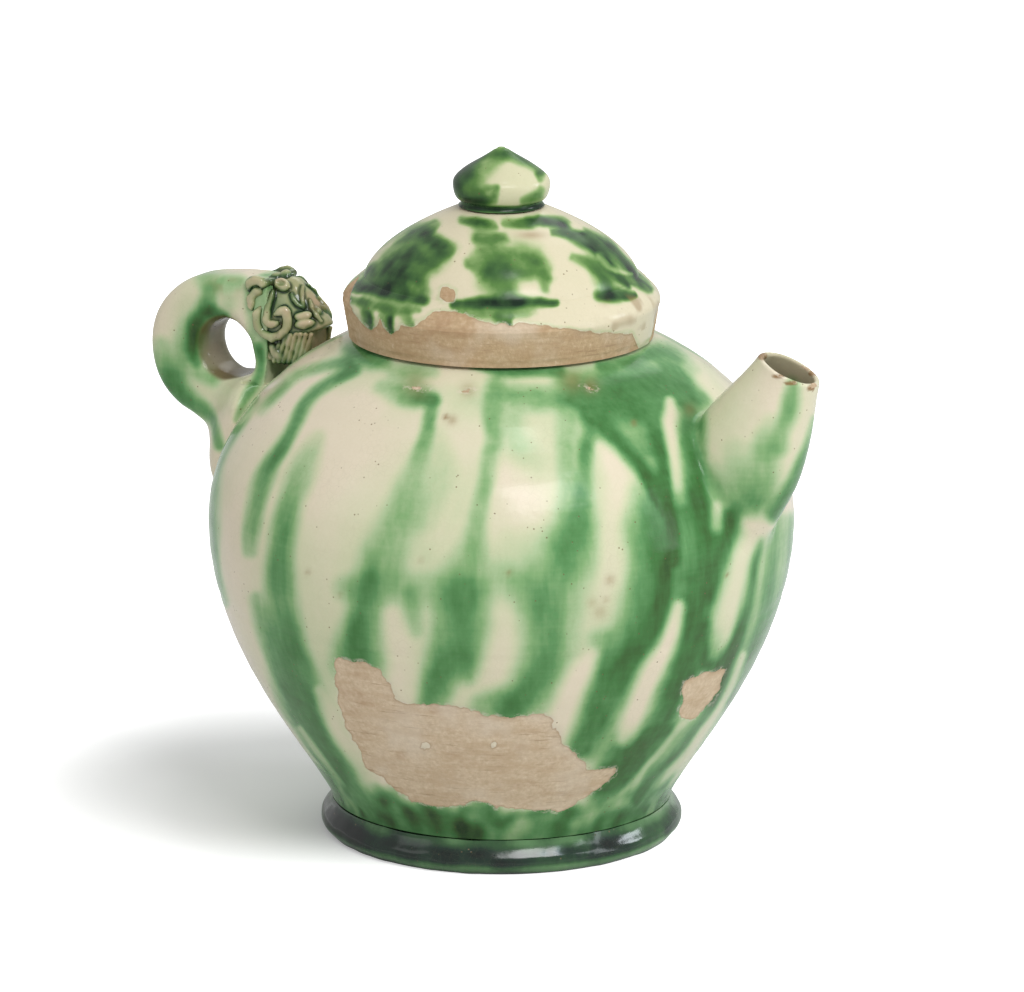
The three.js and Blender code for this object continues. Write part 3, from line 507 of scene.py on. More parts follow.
# Thin washes of green between and around the runs.
BODY_WASHES = [
    [(287, 655, 5, .35), (300, 698, 8, .75), (316, 742, 8, .65), (330, 778, 8, .5)],
    [(742, 540, 10, .12), (726, 600, 10, .2), (704, 648, 9, .15)],
    [(655, 600, 7, .12), (630, 650, 7, .2), (605, 700, 7, .35)],
    [(395, 430, 26, .04), (385, 500, 30, .07), (372, 560, 30, .1), (362, 620, 28, .12), (360, 660, 28, .12)],
    [(440, 420, 22, .05), (440, 480, 26, .08), (430, 540, 26, .1), (430, 600, 40, .14), (440, 660, 34, .12)],
    [(500, 400, 30, .12), (505, 440, 30, .08), (480, 500, 26, .1), (480, 560, 34, .13), (500, 600, 40, .14)],
    [(560, 400, 34, .15), (566, 450, 26, .18), (566, 500, 26, .19), (556, 560, 40, .22),
     (550, 640, 36, .18)],
    [(630, 400, 44, .24), (650, 450, 40, .18), (650, 520, 34, .23), (650, 580, 36, .25), (630, 660, 34, .25),
     (596, 740, 30, .24)],
    [(690, 400, 26, .18), (694, 470, 24, .24), (700, 540, 28, .25), (696, 620, 28, .25), (672, 700, 30, .27),
     (640, 760, 28, .27)],
    [(285, 540, 20, .11), (284, 620, 24, .15), (300, 690, 24, .18), (340, 770, 22, .18)],
    [(345, 366, 18, .18), (375, 360, 20, .21), (420, 380, 26, .12), (480, 390, 22, .09)],
    [(735, 470, 24, .15), (745, 540, 22, .12), (730, 620, 22, .13), (712, 680, 20, .18)],
    [(785, 540, 16, .21), (765, 630, 16, .21), (730, 700, 14, .21)],
    [(296, 672, 14, .2), (303, 700, 14, .3), (309, 728, 10, .2)],
    [(520, 545, 14, .16), (520, 578, 14, .16)],
    [(600, 690, 16, .2), (602, 722, 16, .2)],
    [(640, 690, 12, .14), (640, 716, 12, .14)],
]

# Places where the cream shows through between the runs.
BODY_BARE_RUNS = [
    [(604, 446, 6, .5), (614, 462, 11, .75), (620, 480, 14, .75), (616, 505, 13, .75), (612, 530, 12, .72),
     (611, 555, 13, .7), (610, 575, 14, .7), (604, 598, 16, .6), (596, 622, 10, .3)],
    [(679, 606, 6, .8), (671, 630, 8, .92), (661, 655, 10, .92), (649, 680, 12, .92), (641, 700, 12, .92),
     (633, 720, 11, .88), (624, 738, 8, .6)],
    [(592, 655, 7, .7), (583, 672, 12, .88), (575, 692, 13, .88), (568, 712, 12, .85), (562, 732, 8, .8),
     (560, 744, 6, .6)],
    [(763, 508, 6, .6), (752, 535, 8, .8), (741, 560, 9, .85), (733, 590, 10, .85), (726, 612, 10, .8),
     (717, 640, 8, .6), (712, 655, 5, .3)],
    [(670, 402, 6, .8), (670, 425, 6, .85), (673, 450, 6, .8), (678, 478, 6, .6), (682, 500, 6, .3)],
    [(742, 655, 4, .7), (733, 676, 4, .7), (720, 702, 4, .7), (707, 724, 4, .7), (690, 746, 4, .7),
     (672, 768, 4, .65), (654, 788, 4, .5)],
    [(682, 722, 3, .5), (668, 740, 3, .55), (652, 758, 3, .55), (636, 778, 4, .6), (618, 800, 5, .6),
     (604, 816, 5, .4)],
    [(300, 728, 3, .6), (318, 752, 3, .6), (344, 786, 3, .4)],
    [(286, 722, 2, .4), (308, 752, 2, .5), (334, 788, 2, .3)],
    [(320, 690, 5, .5), (335, 722, 6, .6), (352, 752, 7, .6), (368, 778, 7, .5)],
    [(505, 470, 16, .5), (530, 500, 26, .6), (515, 540, 20, .4)],
    [(717, 506, 5, .6), (716, 526, 6, .5)],
    [(506, 620, 14, .5), (503, 650, 15, .6), (492, 676, 12, .5)],
    [(390, 615, 8, .6), (398, 645, 13, .7), (402, 675, 12, .6)],
    [(690, 366, 6, .4), (704, 380, 7, .5), (716, 392, 6, .4)],
]

# Short runs that pool in the hollow above the foot.
LOW_RUNS = [
    [(330, 796, 10, .5), (345, 822, 14, .85)],
    [(365, 808, 12, .5), (372, 826, 12, .8)],
    [(395, 796, 10, .7), (398, 826, 12, .85)],
    [(420, 812, 9, .25), (422, 830, 10, .5)],
    [(443, 810, 7, .6), (446, 832, 8, .7)],
    [(461, 810, 6, .35), (463, 828, 7, .5)],
    [(484, 806, 11, .8), (485, 826, 9, .6)],
    [(515, 832, 12, .4), (515, 836, 12, .4)],
    [(545, 810, 9, .65), (540, 828, 8, .6)],
    [(565, 830, 8, .35), (565, 834, 8, .35)],
    [(595, 808, 8, .6), (592, 830, 8, .75)],
    [(612, 828, 8, .4), (612, 832, 8, .4)],
    [(640, 804, 12, .7), (640, 826, 14, .8)],
    [(662, 796, 9, .6), (665, 818, 10, .75)],
]

# The big patch where the glaze has flaked off low on the belly, a smaller one beside it, and islands in it.
LOSSES = [
    [(333, 662), (339, 659), (366, 664), (381, 670), (391, 685), (394, 698), (420, 704), (433, 703),
     (463, 708), (489, 714), (517, 718), (537, 711), (553, 714), (555, 726), (560, 744), (570, 750),
     (586, 761), (588, 770), (615, 769), (614, 774), (593, 792), (575, 805), (560, 812), (524, 809),
     (509, 810), (494, 806), (479, 802), (458, 807), (438, 806), (412, 801), (394, 791), (387, 779),
     (364, 767), (360, 749), (348, 726), (338, 703), (336, 682)],
    [(683, 690), (690, 680), (705, 673), (720, 668), (723, 672), (718, 690), (705, 705), (693, 718),
     (680, 721), (678, 712), (684, 700)],
]
LOSS_ISLANDS = [(425, 745, 4.0), (495, 745, 3.0)]
CHIPS = [(417, 387, 8, 2.2), (468, 391, 6, 2.2), (297, 366, 7, 1.4), (590, 388, 5, 1.6)]
SMUDGES = [(446, 417, 3, .9), (452, 420, 5, .5), (610, 580, 5, .45), (600, 612, 7, .35), (592, 603, 5, .3),
           (606, 600, 4, .3), (421, 560, 2, .8), (509, 573, 3, .5), (308, 572, 3, .4), (340, 595, 3, .3),
           (755, 450, 4, .3), (727, 575, 2, .6), (634, 423, 3, .6), (690, 410, 7, .35),
           (572, 381, 12, .45), (590, 385, 9, .45), (416, 385, 14, .4), (468, 390, 8, .4)]


def loss_at(u, v):
    """Distance in millimetres into the flaked patches of the front drawing, positive inside them."""
    shift_u, shift_v = [
        5 * (noise(u / 11, v / 11, coarse) - 0.5) + 3 * (noise(u / 4, v / 4, fine) - 0.5)
        for coarse, fine in ((3.0, 7.0), (9.0, 17.0))]
    u = u + shift_u
    v = v + shift_v
    far = np.full(np.shape(u), -99.0)
    for outline in LOSSES:
        far = np.maximum(far, -polygon_distance(outline, u, v))
    for centre_u, centre_v, radius in LOSS_ISLANDS:
        far = np.minimum(far, np.hypot(u - centre_u, v - centre_v) - radius)
    for chip in CHIPS:
        far = np.maximum(far, (1 - oval(u, v, *chip)) * chip[3])
    return far * DRAWING_UNIT


# Green runs on the far side, by angle round the pot in degrees from its back, and height.

BACK_RUNS = [
    [(-78, 126, 3.5, .6), (-76, 112, 3.5, .6), (-80, 92, 4, .55), (-74, 70, 5, .6), (-70, 46, 5, .6),
     (-66, 24, 4, .5)],
    [(-58, 128, 5, .6), (-55, 116, 5, .6), (-54, 100, 4, .45), (-57, 84, 3, .3)],
    [(-40, 128, 4, .4), (-38, 110, 4, .5), (-40, 88, 5, .55), (-36, 62, 7, .6), (-33, 40, 7, .65),
     (-30, 20, 5, .5)],
    [(-18, 129, 7, .6), (-15, 118, 6, .6), (-17, 104, 5, .5), (-12, 84, 4, .45), (-13, 66, 4, .35)],
    [(2, 129, 5, .5), (5, 112, 4, .55), (3, 90, 5, .6), (8, 66, 7, .65), (10, 44, 8, .7), (8, 24, 6, .55)],
    [(24, 128, 6, .6), (26, 112, 5, .5), (23, 92, 4, .4), (27, 76, 3, .3)],
    [(40, 128, 4, .4), (44, 106, 4, .5), (42, 80, 5, .55), (47, 56, 6, .6), (44, 32, 6, .55),
     (43, 20, 4, .4)],
    [(60, 129, 6, .6), (63, 118, 5, .6), (61, 98, 4, .5), (66, 78, 4, .45), (65, 52, 5, .5),
     (62, 30, 5, .5)],
    [(82, 127, 4, .5), (84, 104, 4, .5), (80, 78, 5, .55), (78, 50, 6, .6), (80, 26, 5, .5)],
    [(-34, 125, 4, .5), (-8, 126, 5, .6), (14, 125, 4, .5), (34, 126, 4, .4)],
]


def back_green(points):
    """The invented runs on the far side, and a thin wash between them."""
    p = points.T
    x, y, z = p
    turned = np.degrees(np.arctan2(y, x)) - (FRONT + 180)
    turned = (turned + 180) % 360 - 180 + 5 * (lumps(p, 9, 16) - 0.5)
    runs = [[(a * DEGREE_WIDTH, h, w * DEGREE_WIDTH, s) for a, h, w, s in run] for run in BACK_RUNS]
    runs = brush(runs, turned * DEGREE_WIDTH, z)
    wash = 0.45 * ease(0.45, 0.75, lumps(p, 13, 34, 2)) * ease(132, 118, z)
    return (1 - (1 - runs) * (1 - wash)) * (0.8 + 0.4 * lumps(p, 11, 15))


# Smudges and flaked patches are only drawn on places that face the front at least this much
IN_FRONT = 0.1


def body_values(points):
    """The glaze's values at points of the body: green, bare clay, warm stains, and darkening low in the
    waist.
    """
    p = points.T
    x, y, z = p
    u, v = drawn(points)
    # The front: runs and washes, the short runs above the foot, the gaps between runs, and unevenness
    drift = 6 * (lumps(p, 22, 34, 5) - 0.5) + 5 * (lumps(p, 6, 11, 0, 9) - 0.5)
    clear = (1 - brush(BODY_RUNS, u + drift, v, 0.85)) * (1 - brush(BODY_WASHES, u, v, 1.6))
    front = 1 - clear * (1 - 0.75 * brush(LOW_RUNS, u + drift, v, 1.0))
    front = front * (1 - brush(BODY_BARE_RUNS, u + drift, v, 0.9))
    front = front * (1 + 0.3 * (lumps(p, 5, 9, 0, 3) - 0.5)) * (0.84 + 0.32 * lumps(p, 13, 17))
    front = np.minimum(front, MOST_GREEN)
    # Thinner on the right of the shoulder and in the middle of the belly, thicker to the sides
    shoulder = spot(u, v, 668, 400, 45, 50)
    middle = spot(u, v, 500, 610, 60, 70)
    sides = 0.12 * ease(570, 650, u) + 0.04 * ease(400, 330, u)
    front = front * (0.92 + sides - 0.2 * shoulder - 0.12 * middle)
    # The far side's runs take over where the drawing ends
    ahead = facing(x, y) / np.hypot(AHEAD[0], AHEAD[1])
    share = ease(-0.32, -0.04, ahead + 0.1 * (lumps(p, 15) - 0.5))
    haze = 0.1 * lumps(p, 30, 45) + 0.06 * lumps(p, 9, 30)
    green = mix(back_green(points), front, share) + (haze - 0.09)
    # The glaze gathers in a band above the foot
    pooled = 0.66 + 0.7 * (lumps(p, 3.4, 6) - 0.5) + 0.3 * (noise(x / 12, y / 12, 6.0) - 0.5)
    low = ease(23, 15, z + 5 * (noise(x / 6, y / 6, 1.0) - 0.5))
    green = mix(green, np.maximum(green, pooled), low)
    warm = np.zeros(len(points))
    for centre_u, centre_v, size, strength in SMUDGES:
        warm = np.maximum(warm, strength * spot(u, v, centre_u, centre_v, size, size) * (ahead > IN_FRONT))
    # Darker towards the bottom, low in the waist above the foot
    foot_hollow = ease(15, 5, z - 5 * (noise(x / 9, y / 9, 4.0) - 0.5))
    pool = 0.3 * np.maximum(foot_hollow, ease(12.5, 9.5, z))
    bare = np.where(ahead > IN_FRONT, loss_at(u, v), NOT_BARE)
    return {"green": green, "bare": bare, "warm": warm, "pool": pool}


def body_push(angle, radius, height):
    """How far the thrown rings, uneven clay and flaked patches move the body's surface outwards."""
    points = on_ring(angle, radius, height)
    u, v = drawn(points)
    in_front = points[:, 0] * AHEAD[0] + points[:, 1] * AHEAD[1] > 6
    sunk = FLAKE_DEPTH * ease(-0.25, 0.25, np.where(in_front, loss_at(u, v), NOT_BARE))
    uneven = 0.1 * (lumps(points.T, 14) - 0.5)
    return (ripple(points[:, 2]) - sunk + uneven).reshape(angle.shape)


# Materials


def linear(r, g, b):
    """Linear colour from the usual 0 to 255 values."""
    c = np.array([r, g, b]) / 255.0
    c = np.where(c <= 0.04045, c / 12.92, ((c + 0.055) / 1.055) ** 2.4)
    return (*c.tolist(), 1.0)


class Nodes:
    """Builds a node tree, a node at a time."""

    def __init__(self, tree):
        self.tree = tree

    def plug(self, value, socket):
        if isinstance(value, bpy.types.NodeSocket):
            self.tree.links.new(value, socket)
        elif value is not None:
            socket.default_value = value

    def node(self, kind, inputs, **settings):
        """A new node. Its inputs, by name or number, take plain values or other nodes' outputs."""
        made = self.tree.nodes.new(kind)
        for key, value in settings.items():
            setattr(made, key, value)
        for key, value in inputs.items():
            self.plug(value, made.inputs[key])
        return made

    def seen(self):
        return self.node("ShaderNodeLightPath", {}).outputs["Is Camera Ray"]

    def choose(self, share, a, b):
        """A number between a and b."""
        return self.node("ShaderNodeMix", {0: share, 2: a, 3: b}, data_type="FLOAT").outputs[0]


class Shader(Nodes):
    """Builds one node material."""

    def __init__(self, name):
        self.material = bpy.data.materials.new(name)
        self.material.use_nodes = True
        super().__init__(self.material.node_tree)
        self.surface = self.tree.nodes["Principled BSDF"]
        self.place = self.node("ShaderNodeTexCoord", {}).outputs["Object"]

    def maths(self, operation, a, b, c=None):
        return self.node("ShaderNodeMath", {0: a, 1: b, 2: c}, operation=operation).outputs[0]

    def times(self, a, b):
        return self.maths("MULTIPLY", a, b)

    def plus(self, a, b):
        return self.maths("ADD", a, b)

    def rest(self, value):
        return self.maths("SUBTRACT", 1.0, value)

    def swing(self, value, amount):
        """A value from 0 to 1 turned into a swing about zero."""
        return self.times(self.maths("SUBTRACT", value, 0.5), amount)

    def value(self, name):
        """A value that the mesh carries at each point."""
        return self.node("ShaderNodeAttribute", {}, attribute_name=name).outputs["Fac"]

    def noise(self, scale, detail=2.0, rough=0.5, stretch=None):
        place = self.place
        if stretch:
            place = self.node("ShaderNodeVectorMath", {0: place, 1: stretch}, operation="MULTIPLY")
            place = place.outputs[0]
        inputs = {"Vector": place, "Scale": scale, "Detail": detail, "Roughness": rough}
        return self.node("ShaderNodeTexNoise", inputs).outputs["Fac"]

    def cells(self, scale, feature="F1"):
        inputs = {"Vector": self.place, "Scale": scale}
        return self.node("ShaderNodeTexVoronoi", inputs, feature=feature).outputs["Distance"]

    def between(self, value, low, high):
        inputs = {"Value": value, "From Min": low, "From Max": high}
        return self.node("ShaderNodeMapRange", inputs, interpolation_type="SMOOTHSTEP").outputs["Result"]

    def ramp(self, value, stops):
        """A colour ramp. A stop is its place and then its colour in 0 to 255 values."""
        made = self.node("ShaderNodeValToRGB", {"Fac": value})
        points = made.color_ramp.elements
        while len(points) < len(stops):
            points.new(0.5)
        for point, (place, *color) in zip(points, stops):
            point.position = place
            point.color = linear(*color)
        return made.outputs["Color"]

    def blend(self, share, a, b, kind="MIX"):
        """Colour a turned into b, which may be given in 0 to 255 values."""
        b = linear(*b) if isinstance(b, tuple) else b
        inputs = {0: share, 6: a, 7: b}
        return self.node("ShaderNodeMix", inputs, data_type="RGBA", blend_type=kind).outputs[2]

    def bump(self, height, strength, distance, normal=None):
        inputs = {"Strength": strength, "Distance": distance, "Height": height, "Normal": normal}
        return self.node("ShaderNodeBump", inputs).outputs["Normal"]


CLAY_ROUGHNESS = 0.82


def glaze(name, greens, clay, crackle=0.06, rough=0.15, gloss=0.17):
    """Lead glaze over clay. The mesh's values say how green it is, where it has pooled or carries painted
    shade, where it is stained and where it is missing."""
    s = Shader(name)
    green = s.value("green")
    # Streaks down the pot, clouds and faint rings vary the green
    swing = s.swing(s.noise(1.0, 3.0, 0.55, (420, 420, 70)), 0.2)
    swing = s.plus(swing, s.swing(s.noise(130, 3.0, 0.6), 0.24))
    swing = s.plus(swing, s.swing(s.noise(1.0, 2.0, 0.5, (15, 15, 900)), 0.07))
    weight = s.plus(s.times(s.between(green, 0.02, 0.5), 0.85), 0.15)
    color = s.ramp(s.plus(green, s.times(swing, weight)), greens)
    # The whole glaze is a little uneven and finely mottled
    tone = s.ramp(s.noise(45, 3.0, 0.6), [(0.3, 247, 246, 240), (0.7, 255, 252, 250)])
    color = s.blend(0.8, color, tone, "MULTIPLY")
    mottle = s.between(s.noise(1500, 2.0, 0.6), 0.3, 0.7)
    color = s.blend(s.times(mottle, 0.1), color, (232, 226, 205), "MULTIPLY")
    # Crackle and brown pits, each in patches, then the stained places, then the pooled glaze and painted
    # shade
    veins = s.rest(s.between(s.cells(560, "DISTANCE_TO_EDGE"), 0.0, 0.07))
    veins = s.times(veins, s.between(s.noise(60), 0.42, 0.62))
    color = s.blend(s.times(veins, crackle), color, (120, 112, 84))
    pits = s.rest(s.between(s.cells(470), 0.06, 0.14))
    pits = s.times(pits, s.between(s.noise(170, 1.0), 0.48, 0.6))
    color = s.blend(s.times(pits, 0.75), color, (112, 90, 62))
    color = s.blend(s.value("warm"), color, (137, 104, 66))
    # Dark green where glaze has pooled, and painted shade inside the spout's bore and the finger hole
    color = s.blend(s.value("pool"), color, (30, 52, 34))

    # Where the glaze is missing, with a pale, broken rim on the glaze's side
    edge = s.plus(s.value("bare"), s.swing(s.noise(1100, 3.0, 0.6), 0.5))
    missing = s.between(edge, -0.05, 0.05)
    rim = s.times(s.between(edge, -0.9, -0.1), s.rest(missing))
    rim = s.times(rim, s.between(s.noise(520, 3.0, 0.7), 0.45, 0.62))
    color = s.blend(s.times(rim, 0.55), color, (214, 203, 184))
    # The clay: its grain, then wiped bands, scratches, pale and dirty patches, and painted shade along its
    # border under the glaze's raised edge
    earth = s.ramp(s.noise(900, 4.0, 0.65), [(0.3, *clay[0]), (0.55, *clay[1]), (0.75, *clay[2])])
    wiped = s.between(s.noise(1.0, 3.0, 0.6, (110, 110, 420)), 0.42, 0.66)
    scratched = s.between(s.noise(1.0, 4.0, 0.7, (70, 70, 1300)), 0.58, 0.7)
    pale = s.between(s.noise(38, 3.0, 0.65), 0.5, 0.7)
    dirty = s.between(s.noise(95, 3.0, 0.7), 0.55, 0.75)
    # Painted shade: the clay is darker just inside the glaze's edge, where that edge would shade it
    edge_shade = s.between(edge, 0.5, 0.05)
    for where, amount, tint in (
            (wiped, 0.6, clay[3]), (scratched, 0.55, (146, 118, 90)), (pale, 0.4, (222, 210, 192)),
            (dirty, 0.35, (164, 128, 98)), (edge_shade, 0.45, (160, 132, 104))):
        earth = s.blend(s.times(where, amount), earth, tint)
    s.plug(s.blend(missing, color, earth), s.surface.inputs["Base Color"])

    # Glaze shines and clay is matt. Waves, pits and the clay's grit are bumps.
    shine = s.plus(rough, s.times(s.noise(220, 2.0), 0.1))
    s.plug(s.choose(missing, shine, CLAY_ROUGHNESS), s.surface.inputs["Roughness"])
    s.surface.inputs["IOR"].default_value = 1.5
    s.surface.inputs["Specular IOR Level"].default_value = gloss

    waves = s.bump(s.noise(190, 3.0, 0.5), 0.25, 0.0004)
    fine = s.bump(pits, 0.5, -0.0001, waves)
    gritty = s.times(missing, s.noise(1600, 3.0, 0.7))
    s.plug(s.bump(gritty, 0.6, 0.0002, fine), s.surface.inputs["Normal"])
    return s.material


# Ramps from thin to thick green glaze: place, then red, green and blue
GREENS = [
    (0.00, 223, 213, 192), (0.10, 207, 210, 178), (0.26, 174, 197, 155), (0.44, 132, 173, 119),
    (0.60, 96, 148, 94), (0.76, 70, 122, 68), (0.90, 60, 94, 49), (1.00, 41, 66, 37),
]
LID_GREENS = [
    (0.00, 216, 208, 182), (0.14, 199, 202, 166), (0.34, 140, 170, 110), (0.55, 89, 129, 68),
    (0.75, 60, 96, 54), (1.00, 26, 45, 32),
]
FOOT_GREENS = [
    (0.00, 150, 172, 136), (0.30, 96, 138, 92), (0.55, 54, 92, 56), (0.80, 26, 50, 38), (1.00, 12, 24, 20),
]
HEAD_GREENS = [
    (0.00, 200, 182, 152), (0.25, 182, 180, 142), (0.50, 142, 156, 110), (0.75, 74, 106, 60),
    (1.00, 28, 52, 28),
]
# Bare clay: three shades of its grain, and the shade where it was wiped
EARTH = [(194, 173, 144), (208, 187, 159), (220, 203, 177), (190, 165, 134)]
# The lid's bare clay: the same clay in darker shades, as painted shade for how light falls on the lid
SHADED_LID_EARTH = [(176, 150, 116), (190, 164, 130), (204, 182, 152), (172, 142, 108)]

body_glaze = glaze("splashed_glaze", GREENS, EARTH, rough=0.11)
lid_glaze = glaze("lid_glaze", LID_GREENS, SHADED_LID_EARTH, 0.04)
foot_glaze = glaze("foot_glaze", FOOT_GREENS, EARTH, 0.05, 0.1, 0.5)
head_glaze = glaze("head_glaze", HEAD_GREENS, EARTH, 0.05, 0.1, 0.5)


def finish_piece(thing, nodes, body, material, values):
    thing.data.materials.append(material)
    write_values(thing, **values)
    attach(thing, body)
    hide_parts(*nodes)


def plain(points, **values):
    """Every value that a glaze reads, with the ones not given left neutral."""
    full = {"green": 0.0, "bare": NOT_BARE, "warm": 0.0, "pool": 0.0}
    full.update(values)
    return {key: np.broadcast_to(np.asarray(value, float), len(points)) for key, value in full.items()}


# Body


def inner_line():
    """The body's inner wall from the mouth down to the middle of its floor."""
    line = even(BODY_LINE, 3.0)
    along = np.gradient(line, axis=0)
    along /= np.linalg.norm(along, axis=1)[:, None]
    inner = line - WALL * np.stack([along[:, 1], -along[:, 0]], 1)
    inner = inner[(inner[:, 1] > FLOOR_Z + 2.5) & (inner[:, 0] > THROAT_R)][::-1]
    floor = [(inner[-1, 0] - 3, FLOOR_Z + 0.6), (inner[-1, 0] - 6, FLOOR_Z), (12, FLOOR_Z), (0, FLOOR_Z)]
    rim = [(MOUTH[0] - 1.2, MOUTH[1]), (THROAT_R, MOUTH[1]), (THROAT_R, inner[0, 1] + 0.3)]
    return np.vstack([rim, inner, floor])


def make_body():
    outer = even(BODY_LINE, 0.95)
    low = [(0, WAIST[1]), (20, WAIST[1]), (WAIST[0] - 0.6, WAIST[1])]
    split = len(low) + len(outer)

    def push(angle, radius, height):
        moved = body_push(angle, radius, height)
        moved[split - 2:] = 0
        moved[:len(low)] = 0
        return moved

    body = lathe("vessel_body", np.vstack([low, outer, inner_line()]), turn(230, 190), push)
    spots = points_of(body)
    values = body_values(spots)
    inside = BODY_TABLE(np.hypot(spots[:, 0], spots[:, 1]), spots[:, 2]) < -2
    values["bare"] = np.where(inside, 5.0, values["bare"])
    finish_piece(body, ["vessel_body"], "ewer", body_glaze, values)


# Foot


def make_foot():
    line = bend([(0, 0), (20, 0), (44.6, 0), (45.7, 0.3)], [(47.2, 1.8), (47.2, 2.6)], 6)
    line = bend(line, [(47.3, 4.2), (46.5, 5.2)], 6)
    line = bend(line, [(45.0, 6.9), (44.3, 8.9)], 8) + [(20, 8.9), (0, 8.9)]

    def push(angle, radius, height):
        worn = 0.35 * (lumps(around(angle, radius, height), 5, 3) - 0.8)
        return np.where((radius > 44) & (height > 0.1), worn, 0)

    foot = lathe("splayed_foot", line, turn(420, 200), push)
    spots = points_of(foot)
    p = spots.T
    x, y, z = p
    u, v = drawn(spots)
    # Uneven and nearly black, lighter on the upper slope and low on the edge, with painted shade on the left
    # and painted light on the right
    dark = 0.84 + 0.3 * (noise(u / 34, v / 30, 2.0) - 0.5) + 0.3 * (lumps(p, 6, 3) - 0.5)
    # Painted shade darkens the left of the foot and painted light lightens its right
    dark += 0.2 * ease(430, 330, u) * (v > 700) - 0.1 * ease(590, 640, u)
    dark -= 0.36 * ease(5.6, 8.2, z) * (0.6 + 0.8 * noise(x / 5, y / 5, 1.0))
    dark -= 0.42 * ease(3.4, 2.0, z) * ease(0.2, 1.2, z)
    under = (z < 0.1) & (np.hypot(x, y) < 44.5)
    finish_piece(foot, ["splayed_foot"], "ewer", foot_glaze,
                 plain(spots, green=dark, bare=np.where(under, 4.0, NOT_BARE)))


# Mouth collar


def make_collar():
    line = bend([(THROAT_R, 133.0), (33.0, 133.0), (33.0, 139.8)], [(33.0, 141.2), (31.8, 141.2)], 6)
    rings = bend(line + [(30.6, 141.2)], [(THROAT_R, 141.2), (THROAT_R, 139.8)], 6)
    n = 220
    m = len(rings)
    angles = np.radians(np.linspace(0, 360, n, endpoint=False))
    points = np.concatenate([on_ring(angles, r, np.full(n, h)) for r, h in rings])
    faces = []
    for i in range(m):
        after = (i + 1) % m
        for j in range(n):
            k = (j + 1) % n
            faces.append([i * n + j, i * n + k, after * n + k, after * n + j])
    collar = mesh_of("mouth_collar", points, faces)
    spots = points_of(collar)
    finish_piece(collar, ["mouth_collar"], "ewer", body_glaze,
                 plain(spots, green=0.2, bare=4.0 * (lumps(spots.T, 9) - 0.3)))


make_body()
make_foot()
make_collar()

# Lid and knob

LID_GLAZE_EDGE = [
    (346, 292), (350, 304), (353, 312), (359, 320), (366, 327), (371, 330), (377, 327), (380, 318),
    (384, 328), (391, 335), (397, 331), (401, 325), (412, 328), (418, 322), (425, 317), (432, 312),
    (442, 310), (456, 312), (470, 316), (480, 321), (497, 325), (505, 323), (511, 328), (518, 322),
    (530, 324), (560, 328), (600, 333), (625, 334), (632, 333), (636, 342), (640, 351), (648, 346),
    (655, 336), (662, 310),
]
LID_RUNS = [
    [(434, 224, 6, .45), (418, 234, 11, .66), (406, 249, 15, .72), (395, 264, 17, .74)],
    [(452, 250, 9, .6), (436, 257, 13, .68), (413, 269, 17, .74), (392, 280, 17, .8)],
    [(428, 238, 10, .66), (442, 246, 9, .62)],
    [(372, 272, 10, .7), (362, 283, 7, .7)],
    [(420, 278, 9, .5), (424, 290, 8, .55)],
    [(352, 290, 4, .7), (368, 289, 7, .88), (388, 291, 10, .93), (408, 296, 9, .92), (424, 301, 6, .8)],
    [(350, 300, 4, .5), (370, 304, 6, .5), (395, 309, 6, .5), (420, 311, 4, .4)],
    [(366, 306, 8, .5), (370, 317, 7, .7), (371, 326, 5, .66)],
    [(370, 314, 3, .6), (371, 322, 3, .6)],
    [(388, 310, 7, .5), (389, 321, 7, .72), (391, 331, 4, .7)],
    [(389, 318, 3, .6), (391, 328, 2, .6)],
    [(404, 312, 8, .45), (409, 320, 7, .5), (414, 325, 3, .4)],
    [(478, 236, 8, .55), (500, 237, 7, .5)],
    [(484, 248, 12, .36), (505, 255, 18, .42), (530, 256, 15, .38)],
    [(469, 264, 6, .5), (488, 267, 14, .54), (515, 268, 16, .54), (542, 268, 12, .52)],
    [(486, 280, 14, .4), (503, 288, 15, .5), (508, 298, 13, .6)],
    [(546, 278, 9, .5), (545, 288, 6, .42)],
    [(452, 305, 4, .7), (470, 304, 7, .93), (500, 303, 8, .96), (530, 303, 7, .93), (556, 303, 4, .75)],
    [(458, 311, 4, .35), (485, 315, 5, .45), (520, 315, 5, .42), (535, 312, 4, .2)],
    [(500, 318, 7, .55), (509, 320, 6, .72), (511, 326, 4, .7)],
    [(464, 221, 5, .5), (478, 223, 6, .84), (492, 224, 5, .5)],
    [(504, 223, 5, .45), (525, 223, 6, .72), (545, 221, 6, .9), (562, 224, 7, .9)],
    [(553, 233, 4, .65), (566, 233, 6, .92), (582, 240, 8, .92), (598, 250, 8, .88), (608, 262, 7, .85),
     (618, 275, 6, .85), (630, 286, 4, .75)],
    [(586, 234, 6, .8), (606, 245, 7, .85), (622, 260, 6, .8), (638, 280, 7, .85), (650, 290, 5, .7)],
    [(574, 258, 5, .4), (590, 263, 8, .55), (602, 274, 10, .62), (608, 285, 12, .64)],
    [(600, 296, 6, .88), (618, 296, 8, .92), (634, 295, 4, .75)],
]
LID_BARE_RUNS = [
    [(446, 280, 8, .6), (440, 292, 8, .6)],
    [(530, 290, 6, .6), (536, 294, 5, .5)],
    [(352, 282, 4, .8), (360, 276, 3, .6)],
    [(600, 256, 4, .5), (614, 270, 3, .6), (630, 274, 2, .5)],
    [(462, 240, 5, .5), (460, 256, 5, .5)],
]
